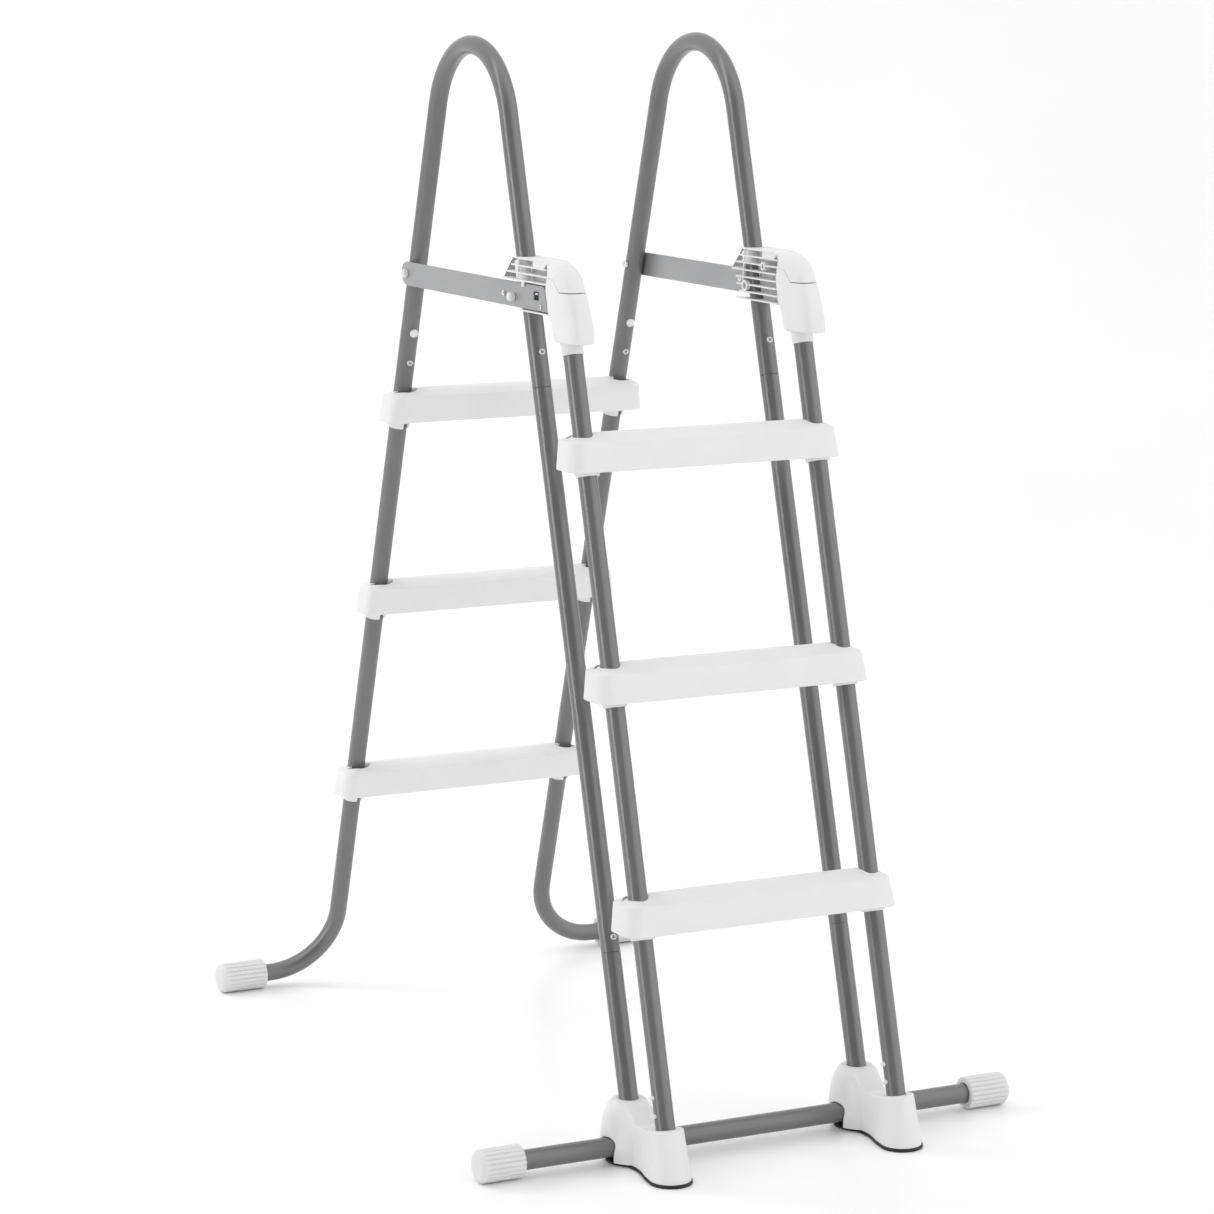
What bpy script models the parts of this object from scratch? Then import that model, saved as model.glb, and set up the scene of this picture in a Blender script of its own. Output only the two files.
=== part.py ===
"""A-frame pool ladder with lift-off outer steps. Metres, +Z up, outer (lift-off) side at -Y, floor at Z 0."""

from math import atan, cos, pi, radians, sin

import bmesh
import bpy
from mathutils import Vector

# Overall frame. CENTRE_Y moves the layout so that its bounding box is centred on Y 0.
HEIGHT = 1.5125
CENTRE_Y = -0.0019
LEG_X = 0.180
STEP_RISE = 0.3048
FRONT_FOOT_Y, FRONT_LEAN = -0.482, 0.2811
STEP_TUBE_FOOT_Y, STEP_TUBE_LEAN = -0.5868, 0.2736
REAR_FOOT_Y, REAR_LEAN = 0.600, -0.3169

# Round tube: body, its bore, and the swaged spigot that enters the tube above
TUBE_R, BORE_R = 0.0135, 0.0123
SPIGOT_R, SPIGOT_BORE_R, SPIGOT_LENGTH = 0.0119, 0.0107, 0.075
JOINT_GAP = 0.0004
TUBE_SIDES = 16

# Heights of the joints, and of the spring button above each
FRONT_JOINT_Z, FRONT_BUTTON_Z = 1.0330, 1.0800
LOW_JOINT_Z, LOW_BUTTON_Z = 0.2770, 0.2968
REAR_JOINT_Z, REAR_BUTTON_Z = 0.9650, 1.0280
REAR_LOW_JOINT_Z, REAR_PLUG_Z = 0.3450, 1.0740
BUTTON_R, BUTTON_HOLE_R, BUTTON_OUT = 0.0043, 0.0047, 0.0024

# Inner foot: the leg bends outwards onto the floor
FLOOR_TUBE_Z = 0.0232
REAR_AXIS_Y = REAR_FOOT_Y + REAR_LEAN * FLOOR_TUBE_Z
FOOT_BEND_R = 0.105

# Fluted end caps
CAP_R, CAP_FLUTES, CAP_BORE_GAP = 0.0232, 20, 0.0004
FRONT_CAP_IN, FRONT_CAP_OUT = 0.3505, 0.4165
REAR_CAP_IN, REAR_CAP_OUT = 0.2980, 0.3735

# Base cross tube and shoes
CROSS_R, CROSS_Y, CROSS_Z = 0.0140, -0.4707, 0.0232
ARCH_R = 0.0155
PAD_THICK, SHOE_BOTTOM = 0.0045, 0.0048
SHOE_HEEL_R, SHOE_HEEL_Y = 0.0430, -0.4690
SHOE_NOSE_R, SHOE_NOSE_Y = 0.0300, -0.5810
SHOE_NOSE_TOP_Z, SHOE_COLLAR_TOP_Z = 0.0700, 0.0850
LEG_BOTTOM_Z = 0.0430

# Steps: heights are those of the lowest step
STEP_BOTTOM_Z, STEP_SHOULDER_Z, STEP_CROWN_Z = 0.3245, 0.3635, 0.3746
STEP_HALF_TOP, STEP_HALF_BOTTOM = 0.2065, 0.2115
STEP_OUTER, STEP_INNER = 0.0240, 0.0400
STEP_WALL = 0.0030
RIM_Z, COLLAR_Z = 0.3720, 0.3165

# Lift-off tubes
STEP_TUBE_BOTTOM_Z, STEP_TUBE_TOP_Z = 0.0300, 1.1420
PEG_ZS = (0.1122, 0.0884)
PEG_R, PEG_HOLE_R = 0.0034, 0.0038

# Side bars, and the (y, z) of what is fixed through them
BAR_X0, BAR_X1 = 0.0138, 0.0163
BAR_Z0, BAR_Z1 = 1.1426, 1.1776
BAR_BOLT_Y, BAR_MID_Z = 0.2324, 1.1601
BAR_END_Y, BAR_END_TOP_Y, BAR_ROUND_Y = -0.2424, -0.2325, 0.2345
RIVET_AT, KNOB_AT, SCREW_AT = (-0.1035, 1.1592), (-0.1365, 1.1565), (-0.2226, 1.1487)

# Bracket, hood and sleeve
HEAD_HALF = 0.0190
RIB_TOP_Z, RIB_PITCH, RIB_THICK = 1.2127, 0.01024, 0.0020
RIB_BACK_YS = (-0.143, -0.1315, -0.119, -0.1044, -0.1208, -0.1226, -0.1325, -0.142)
RIB_FRONT_Y, RIB_LOW_FRONT_Y, RIB_TOP_FRONT_Y = -0.2560, -0.2400, -0.2420
BOSS_HIGH_AT, BOSS_LOW_AT = (-0.2051, 1.1903), (-0.1513, 1.1587)

X, Y, Z = Vector((1, 0, 0)), Vector((0, 1, 0)), Vector((0, 0, 1))
SIDES = (("left", -1), ("right", 1))


def clear_scene():
    for obj in list(bpy.data.objects):
        bpy.data.objects.remove(obj, do_unlink=True)


def material(name, colour, roughness, metallic=0.0):
    mat = bpy.data.materials.new(name)
    mat.use_nodes = True
    shader = mat.node_tree.nodes["Principled BSDF"]
    shader.inputs["Base Color"].default_value = (*colour, 1)
    shader.inputs["Roughness"].default_value = roughness
    shader.inputs["Metallic"].default_value = metallic
    mat.diffuse_color = (*colour, 1)
    return mat


class Leg:
    """A straight tube axis in a plane of constant X, leaning in Y as it rises."""

    def __init__(self, foot_y, lean):
        self.foot_y, self.lean = foot_y, lean
        self.along = Vector((0, sin(atan(lean)), cos(atan(lean))))
        self.out = Vector((0, -self.along.z, self.along.y))

    def at(self, x, z):
        return Vector((x, self.foot_y + self.lean * z, z))


FRONT = Leg(FRONT_FOOT_Y, FRONT_LEAN)
LIFT = Leg(STEP_TUBE_FOOT_Y, STEP_TUBE_LEAN)
REAR = Leg(REAR_FOOT_Y, REAR_LEAN)


# ---------------------------------------------------------------- mesh helpers
def ring(centre, along, radius, sides=TUBE_SIDES, aside=None):
    """A circle of points round centre, square to along. A list of radii gives a fluted ring."""
    aside = aside or X
    over = along.cross(aside).normalized()
    radii = radius if isinstance(radius, (list, tuple)) else [radius] * sides
    step = 2 * pi / len(radii)
    return [centre + r * (cos(i * step) * aside + sin(i * step) * over) for i, r in enumerate(radii)]


def build(name, bodies, mat, origin, parent=None, sharp=40):
    """One object from (rings, is_loop) bodies: each a loop of rings, or a stack closed by two faces."""
    bm = bmesh.new()
    for rings, is_loop in bodies:
        rows = [[bm.verts.new(p - origin) for p in points] for points in rings]
        for low, high in zip(rows, rows[1:] + rows[:1] if is_loop else rows[1:]):
            for i in range(len(low)):
                j = (i + 1) % len(low)
                bm.faces.new((low[i], low[j], high[j], high[i]))
        if not is_loop:
            bm.faces.new(rows[0][::-1])
            bm.faces.new(rows[-1])
    bmesh.ops.recalc_face_normals(bm, faces=bm.faces)
    mesh = bpy.data.meshes.new(name)
    bm.to_mesh(mesh)
    bm.free()
    for face in mesh.polygons:
        face.use_smooth = True
    mesh.set_sharp_from_angle(angle=radians(sharp))
    mesh.materials.append(mat)
    obj = bpy.data.objects.new(name, mesh)
    obj.location = origin - (parent.location if parent else Vector())
    obj.parent = parent or layout
    bpy.context.scene.collection.objects.link(obj)
    return obj


def helper(name, bodies):
    """A hidden solid for a Boolean."""
    obj = build(name, bodies, PLASTIC, Vector())
    obj.hide_render = True
    obj.display_type = "WIRE"
    return obj


def boolean(obj, other, operation):
    mod = obj.modifiers.new(other.name, "BOOLEAN")
    mod.operation = operation
    mod.solver = "EXACT"
    mod.object = other
    return obj


def rod(start, end, radius, sides=12, aside=None):
    """Rings of a plain round bar. A pair of radii tapers it."""
    along = (end - start).normalized()
    if aside is None:
        aside = X if abs(along.x) < 0.9 else Y
    r0, r1 = radius if isinstance(radius, tuple) else (radius, radius)
    return [ring(start, along, r0, sides, aside), ring(end, along, r1, sides, aside)]


def turned(origin, along, profile, sides=12, aside=None):
    """Rings of a turned solid from (distance along, radius) pairs."""
    aside = aside or (X if abs(along.x) < 0.9 else Y)
    return [ring(origin + along * s, along, r, sides, aside) for s, r in profile]


def block(x0, x1, y0, y1, z0, z1):
    return [
        [Vector((x, y, z)) for x, y in ((x0, y0), (x1, y0), (x1, y1), (x0, y1))] for z in (z0, z1)
    ]


def prism_x(x0, x1, outline):
    """A (y, z) outline carried along X."""
    return [[Vector((x, y, z)) for y, z in outline] for x in (x0, x1)]


def drill(obj, name, start, end, radius, sides=12):
    return boolean(obj, helper(f"cut_{name}", [(rod(start, end, radius, sides), False)]), "DIFFERENCE")


def hollow(path, bore_r=BORE_R, outer_r=TUBE_R, aside=None, spigot=False):
    """Loop of rings for a tube along (point, along) stations. A spigot is added beyond the last one."""
    out = [ring(p, t, outer_r, aside=aside) for p, t in path]
    inside = [ring(p, t, bore_r, aside=aside) for p, t in path[: -1 if spigot else None]]
    if spigot:
        end, along = path[-1]
        for s, r in ((0, SPIGOT_R), (SPIGOT_LENGTH - 0.003, SPIGOT_R), (SPIGOT_LENGTH, SPIGOT_R - 0.0006)):
            out.append(ring(end + along * s, along, r, aside=aside))
        for s, r in ((-0.004, bore_r), (0, SPIGOT_BORE_R), (SPIGOT_LENGTH, SPIGOT_BORE_R)):
            inside.append(ring(end + along * s, along, r, aside=aside))
    return [(out + inside[::-1], True)]


# ---------------------------------------------------------------- tubes
def bend(centre, start_dir, turn_dir, radius, angle, count):
    """Stations round an arc that leaves along start_dir and turns towards turn_dir."""
    stations = []
    for i in range(count + 1):
        a = angle * i / count
        point = centre - turn_dir * radius * cos(a) + start_dir * radius * sin(a)
        stations.append((point, start_dir * cos(a) + turn_dir * sin(a)))
    return stations


def handrail(side, sign):
    x = sign * LEG_X
    apex_z = (REAR_FOOT_Y - FRONT_FOOT_Y) / (FRONT_LEAN - REAR_LEAN)
    half = (atan(FRONT_LEAN) - atan(REAR_LEAN)) / 2
    down = (-FRONT.along - REAR.along).normalized()
    drop = -down.z / sin(half)
    radius = (apex_z + TUBE_R - HEIGHT) / (drop - 1)
    centre = FRONT.at(x, apex_z) + down * radius / sin(half)
    turn = Vector((0, FRONT.along.z, -FRONT.along.y))
    arc = bend(centre, FRONT.along, turn, radius, pi - 2 * half, 18)
    path = [(FRONT.at(x, FRONT_JOINT_Z + JOINT_GAP), FRONT.along), *arc]
    path.append((REAR.at(x, REAR_JOINT_Z + JOINT_GAP), -REAR.along))
    obj = build(f"handrail_{side}", hollow(path), STEEL, FRONT.at(x, FRONT_JOINT_Z))
    for leg, z, name in ((FRONT, FRONT_BUTTON_Z, "front"), (REAR, REAR_BUTTON_Z, "rear")):
        hole_out(obj, f"rail_{name}_{side}", leg, x, z, BUTTON_HOLE_R)
    hole_out(obj, f"rail_plug_{side}", REAR, x, REAR_PLUG_Z, 0.0040)
    bolt = Vector((x, BAR_BOLT_Y, BAR_MID_Z))
    drill(obj, f"rail_bolt_{side}", bolt - X * 0.02, bolt + X * 0.02, 0.0034)
    return obj


def hole_out(obj, name, leg, x, z, radius):
    """A hole square through the outer-facing wall of a leg."""
    centre = leg.at(x, z)
    drill(obj, name, centre + leg.out * 0.004, centre + leg.out * 0.020, radius)


def leg_tube(name, leg, x, z0, z1):
    """A leg length from z0 to the joint at z1, with a spigot above it."""
    path = [(leg.at(x, z), leg.along) for z in (z0, z1)]
    return build(name, hollow(path, spigot=True), STEEL, path[0][0])


def legs(side, sign):
    x = sign * LEG_X
    mid = leg_tube(f"front_leg_mid_{side}", FRONT, x, LOW_JOINT_Z + JOINT_GAP, FRONT_JOINT_Z)
    hole_out(mid, f"mid_top_{side}", FRONT, x, FRONT_BUTTON_Z, BUTTON_HOLE_R)
    hole_out(mid, f"mid_low_{side}", FRONT, x, LOW_BUTTON_Z, BUTTON_HOLE_R)
    low = leg_tube(f"front_leg_low_{side}", FRONT, x, LEG_BOTTOM_Z, LOW_JOINT_Z)
    hole_out(low, f"low_{side}", FRONT, x, LOW_BUTTON_Z, BUTTON_HOLE_R)
    rear = leg_tube(f"rear_leg_mid_{side}", REAR, x, REAR_LOW_JOINT_Z + JOINT_GAP, REAR_JOINT_Z)
    hole_out(rear, f"rear_mid_{side}", REAR, x, REAR_BUTTON_Z, BUTTON_HOLE_R)

    # The foot runs outwards along X and turns up into the leaning leg.
    outward = X * sign
    foot = Vector((x + outward.x * FOOT_BEND_R, REAR_AXIS_Y, FLOOR_TUBE_Z))
    arc = bend(foot + REAR.along * FOOT_BEND_R, -outward, REAR.along, FOOT_BEND_R, pi / 2, 8)
    start = Vector((sign * (REAR_CAP_OUT - 0.010), REAR_AXIS_Y, FLOOR_TUBE_Z))
    path = [(start, -outward), *arc, (REAR.at(x, REAR_LOW_JOINT_Z), REAR.along)]
    aside = REAR.along.cross(outward)
    build(f"rear_foot_leg_{side}", hollow(path, aside=aside, spigot=True), STEEL, foot)


# ---------------------------------------------------------------- caps, cross tube, shoes
def end_cap(name, axis_y, sign, x_in, x_out, tube_r):
    fluted = [CAP_R if i % 2 == 0 else CAP_R - 0.0015 for i in range(2 * CAP_FLUTES)]
    count = len(fluted)
    root = [r - 0.0012 for r in fluted]
    bore = tube_r + CAP_BORE_GAP
    base = Vector((0, axis_y, FLOOR_TUBE_Z))
    along = X * sign
    dome = x_out - 0.0160
    profile = [(x_in, root), (x_in + 0.002, fluted), (dome, fluted), (dome + 0.004, CAP_R - 0.0008)]
    profile += [(x_out - 0.0075, CAP_R - 0.0022), (x_out - 0.0025, CAP_R - 0.0062), (x_out, CAP_R - 0.0120)]
    out = [ring(base + along * s, along, r, count, Z) for s, r in profile]
    inside = [ring(base + along * s, along, bore, count, Z) for s in (x_in, x_out - 0.0092)]
    bm_rings = inside[::-1] + out
    return build(name, [(bm_rings, False)], PLASTIC, base + along * x_in)


def cross_tube():
    end = FRONT_CAP_OUT - 0.010
    stations = [(Vector((s * end, CROSS_Y, CROSS_Z)), X) for s in (-1, 1)]
    rings = hollow(stations, CROSS_R - 0.0013, CROSS_R, aside=Y)
    build("base_cross_tube", rings, STEEL, Vector((0, CROSS_Y, CROSS_Z)))


def shoe_outline(grow, z):
    """Heel circle, waist and nose circle as one closed plan outline about X 0."""
    heel = SHOE_HEEL_R + grow
    nose = SHOE_NOSE_R + grow
    waist = 0.0190 + grow
    turn = [radians(d) for d in range(-125, 126, 25)]
    points = [(heel * sin(a), SHOE_HEEL_Y + heel * cos(a)) for a in turn]
    points += [(0.0225 + grow, -0.5080), (waist + 0.0002, -0.5190), (waist + 0.0010, -0.5320)]
    points += [(0.0235 + grow, -0.5480)]
    arc = [radians(d) for d in (62, 85, 108, 132, 156)]
    right = [(nose * sin(a), SHOE_NOSE_Y + nose * cos(a)) for a in arc]
    points += right + [(0.0, SHOE_NOSE_Y - nose)] + [(-px, py) for px, py in right[::-1]]
    points += [(-0.0235 - grow, -0.5480), (-waist - 0.0010, -0.5320), (-waist - 0.0002, -0.5190)]
    points += [(-0.0225 - grow, -0.5080)]
    return [Vector((px, py, z)) for px, py in points]


def shifted(rings, x):
    return [[p + X * x for p in points] for points in rings]


def shoe(side, sign):
    x = sign * LEG_X
    pad = shifted([shoe_outline(0.0010, 0.0), shoe_outline(0.0010, PAD_THICK)], x)
    build(f"rubber_pad_{side}", [(pad, False)], RUBBER, Vector((x, SHOE_HEEL_Y, 0)))
    start_y = FRONT.at(0, SHOE_BOTTOM).y

    def plan(z, heel, nose, waist):
        """Circles round the two tube axes joined by a waist, leaning with the tubes."""
        leg_y = FRONT.at(0, z).y + (SHOE_HEEL_Y - start_y) * (1 - z / SHOE_COLLAR_TOP_Z)
        nose_y = SHOE_NOSE_Y + 0.0134 * (z / SHOE_NOSE_TOP_Z)
        gap = leg_y - nose_y
        half = [(heel * sin(radians(d)), leg_y + heel * cos(radians(d))) for d in range(0, 126, 25)]
        half += [(waist + 0.0035, leg_y - 0.36 * gap), (waist, leg_y - 0.47 * gap)]
        half += [(waist + 0.0008, leg_y - 0.60 * gap)]
        half += [(0.55 * waist + 0.45 * nose + 0.001, leg_y - 0.74 * gap)]
        turn = [radians(d) for d in (62, 85, 108, 132, 156, 180)]
        half += [(nose * sin(a), nose_y + nose * cos(a)) for a in turn]
        points = half + [(-px, py) for px, py in half[-2:0:-1]]
        return [Vector((x + px, py, z)) for px, py in points]

    body = [
        plan(SHOE_BOTTOM, SHOE_HEEL_R, SHOE_NOSE_R, 0.0190),
        plan(0.0300, 0.0442, 0.0282, 0.0186),
        plan(0.0500, 0.0415, 0.0264, 0.0176),
        plan(0.0620, 0.0376, 0.0250, 0.0166),
        plan(SHOE_NOSE_TOP_Z, 0.0345, 0.0243, 0.0160),
    ]
    obj = build(f"base_foot_{side}", [(body, False)], PLASTIC, FRONT.at(x, 0.0))
    dome = ((0.0600, 0.0370), (0.0700, 0.0332), (0.0780, 0.0288), (0.0825, 0.0252))
    dome += ((SHOE_COLLAR_TOP_Z, 0.0226),)
    collar = [ring(FRONT.at(x, z), Z, r, 20) for z, r in dome]
    boolean(obj, helper(f"add_collar_{side}", [(collar, False)]), "UNION")
    bore = FRONT.at(x, LEG_BOTTOM_Z - 0.0005)
    drill(obj, f"shoe_leg_{side}", bore, bore + FRONT.along * 0.07, TUBE_R + 0.0005, TUBE_SIDES)
    socket = LIFT.at(x, STEP_TUBE_BOTTOM_Z - 0.0010)
    drill(obj, f"shoe_socket_{side}", socket, socket + LIFT.along * 0.07, TUBE_R + 0.0006, TUBE_SIDES)
    turn = [radians(a) for a in range(0, 181, 20)]
    arch = [(CROSS_Y + ARCH_R * cos(a), CROSS_Z + ARCH_R * sin(a)) for a in turn]
    arch = [(CROSS_Y + ARCH_R, -0.01), *arch, (CROSS_Y - ARCH_R, -0.01)]
    cutter = helper(f"cut_arch_{side}", [(prism_x(x - 0.06, x + 0.06, arch), False)])
    boolean(obj, cutter, "DIFFERENCE")


# ---------------------------------------------------------------- steps
def step_plan(half, outer, inner, inset, out_sign, y_shift, z, y_mid):
    """Rounded tread outline: 22 mm corners towards the user, 18 mm corners on the other side."""
    half, outer, inner = half - inset, outer - inset, inner - inset
    r_out, r_in = max(0.022 - inset, 0.0015), max(0.018 - 0.8 * inset, 0.0015)
    outline = []
    for cx, cy, r, a0, a1, count in (
        (half - r_in, -inner + r_in, r_in, -90, 0, 4),
        (half - r_out, outer - r_out, r_out, 0, 90, 5),
        (-half + r_out, outer - r_out, r_out, 90, 180, 5),
        (-half + r_in, -inner + r_in, r_in, 180, 270, 4),
    ):
        for i in range(count):
            a = radians(a0 + (a1 - a0) * i / (count - 1))
            outline.append((cx + r * cos(a), cy + r * sin(a)))
    return [Vector((px, y_mid + y_shift + out_sign * py, z)) for px, py in outline]


def behind(origin, along, start, end, radius, side):
    """Rings of a round bar cut by a flat, so that it lies only behind a tube that it half surrounds."""
    over = along.cross(X).normalized() * side
    turn = [radians(a) for a in range(24, 157, 12)]
    return [
        [origin + along * s + radius * (cos(a) * X + sin(a) * over) for a in turn] for s in (start, end)
    ]


def step(name, leg, out_sign, index, parent=None):
    lift = STEP_RISE * index
    mid_z = (STEP_BOTTOM_Z + STEP_SHOULDER_Z) / 2 + lift
    y_mid = leg.at(0, mid_z).y
    drift = 0.003 * (1 if leg.lean > 0 else -1)

    def plan(half, grow, inset, shift, z):
        outer, inner = STEP_OUTER + grow, STEP_INNER + grow
        return step_plan(half, outer, inner, inset, out_sign, shift, z + lift, y_mid)

    body = [
        plan(STEP_HALF_BOTTOM - 0.001, 0.001, 0, -drift, STEP_BOTTOM_Z),
        plan(STEP_HALF_BOTTOM, 0.002, 0, -drift, STEP_BOTTOM_Z + 0.0015),
        plan(STEP_HALF_TOP, 0, 0, drift, STEP_SHOULDER_Z),
        plan(STEP_HALF_TOP, 0, 0.0040, drift, STEP_SHOULDER_Z + 0.0034),
        plan(STEP_HALF_TOP, 0, 0.0110, drift, STEP_SHOULDER_Z + 0.0074),
        plan(STEP_HALF_TOP, 0, 0.0220, drift, STEP_CROWN_Z),
    ]
    obj = build(name, [(body, False)], PLASTIC, Vector((0, y_mid, mid_z)), parent)
    sleeves, rims, bores, wells = [], [], [], []
    for sign in (-1, 1):
        x = sign * LEG_X
        low, rim = leg.at(x, COLLAR_Z + lift), leg.at(x, RIM_Z + lift)
        ends = low - leg.along * 0.02, rim + leg.along * 0.02
        sleeves.append((rod(low, rim - leg.along * 0.012, (0.0169, 0.0190), 20), False))
        rims.append((behind(rim, leg.along, -0.020, 0, 0.0233, -out_sign), False))
        wells.append((behind(rim, leg.along, -0.014, 0.020, 0.0207, -out_sign), False))
        bores.append((rod(*ends, TUBE_R + 0.0004, TUBE_SIDES), False))
    pocket = [
        plan(LEG_X - 0.0270, 0.002, STEP_WALL, -drift, STEP_BOTTOM_Z - 0.005),
        plan(LEG_X - 0.0270, 0.000, STEP_WALL, drift, STEP_SHOULDER_Z - 0.0040),
        plan(LEG_X - 0.0270, 0.000, 0.0200, drift, STEP_CROWN_Z - STEP_WALL - 0.0006),
    ]
    boolean(obj, helper(f"add_sleeves_{name}", sleeves), "UNION")
    boolean(obj, helper(f"add_rims_{name}", rims), "UNION")
    boolean(obj, helper(f"cut_pocket_{name}", [(pocket, False)]), "DIFFERENCE")
    boolean(obj, helper(f"cut_wells_{name}", wells), "DIFFERENCE")
    boolean(obj, helper(f"cut_bores_{name}", bores), "DIFFERENCE")
    return obj


# ---------------------------------------------------------------- lift-off tubes
def lift_tube(side, sign, parent):
    x = sign * LEG_X
    path = [(LIFT.at(x, z), LIFT.along) for z in (STEP_TUBE_BOTTOM_Z, STEP_TUBE_TOP_Z)]
    tube = build(f"step_tube_{side}", hollow(path), STEEL, path[0][0], parent)
    for i, z in enumerate(PEG_ZS):
        drill(tube, f"peg{i}_{side}", LIFT.at(x, z) - X * 0.004, LIFT.at(x, z) - X * 0.020, PEG_HOLE_R)
    start = LIFT.at(x, STEP_TUBE_BOTTOM_Z + 0.001)
    length = (PEG_ZS[0] + 0.012 - STEP_TUBE_BOTTOM_Z) / LIFT.along.z
    profile = ((0, 0.0108), (0.0015, 0.0118), (length - 0.001, 0.0118), (length, 0.0110))
    plug = turned(start, LIFT.along, profile, 16)
    obj = build(f"tube_end_plug_{side}", [(plug, False)], PLASTIC, start, parent)
    profile = ((0.006, PEG_R), (0.0166, PEG_R), (0.0179, 0.0026), (0.0185, 0.0012))
    pegs = [(turned(LIFT.at(x, z), -X, profile, 10), False) for z in PEG_ZS]
    boolean(obj, helper(f"add_pegs_{side}", pegs), "UNION")


# ---------------------------------------------------------------- bracket, hood, sleeve
def head_section(z, front, back, half, r_front):
    """Plan outline of the hood or sleeve: rounded nose at -Y, small corners at the back."""
    r_back = 0.0020
    points = []
    for cx, cy, r, a0, a1, count in (
        (half - r_back, back - r_back, r_back, 0, 90, 2),
        (-half + r_back, back - r_back, r_back, 90, 180, 2),
        (-half + r_front, front + r_front, r_front, 180, 270, 6),
        (half - r_front, front + r_front, r_front, 270, 360, 6),
    ):
        for i in range(count):
            a = radians(a0 + (a1 - a0) * i / (count - 1))
            points.append((cx + r * cos(a), cy + r * sin(a)))
    return [Vector((px, py, z)) for px, py in points]


# Sections going up: height, front and back edge, half-width, radius of the front corners
HEAD = (
    (1.1050, -0.3250, -0.2695, 0.0174, 0.0110),
    (1.1072, -0.3284, -0.2680, 0.0188, 0.0122),
    (1.1180, -0.3292, -0.2632, 0.0190, 0.0125),
    (1.1330, -0.3252, -0.2566, 0.0190, 0.0130),
    (1.1420, -0.3220, -0.2492, 0.0190, 0.0135),
    (1.1740, -0.3068, -0.2412, 0.0190, 0.0160),
    (1.1850, -0.3006, -0.2430, 0.0188, 0.0165),
    (1.1940, -0.2940, -0.2450, 0.0179, 0.0165),
    (1.2010, -0.2866, -0.2440, 0.0163, 0.0155),
    (1.2060, -0.2786, -0.2400, 0.0142, 0.0135),
    (1.2095, -0.2706, -0.2330, 0.0120, 0.0115),
    (1.2127, -0.2530, -0.2180, 0.0072, 0.0068),
)


def head(x):
    return shifted([head_section(*row) for row in HEAD], x)


def head_split(x, above, gap):
    """Everything above or below the parting line, which rises towards the back."""
    line = ((-0.36, 1.1737), (-0.2838, 1.1737), (-0.2640, 1.1905), (-0.19, 1.1905))
    lift = gap if above else -gap
    far = 1.30 if above else 1.05
    outline = [(y, z + lift) for y, z in line] + [(-0.19, far), (-0.36, far)]
    return [(prism_x(x - 0.05, x + 0.05, outline), False)]


def lift_bore(x, radius, z0, z1, sides=TUBE_SIDES):
    return rod(LIFT.at(x, z0), LIFT.at(x, z1), radius, sides)


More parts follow.
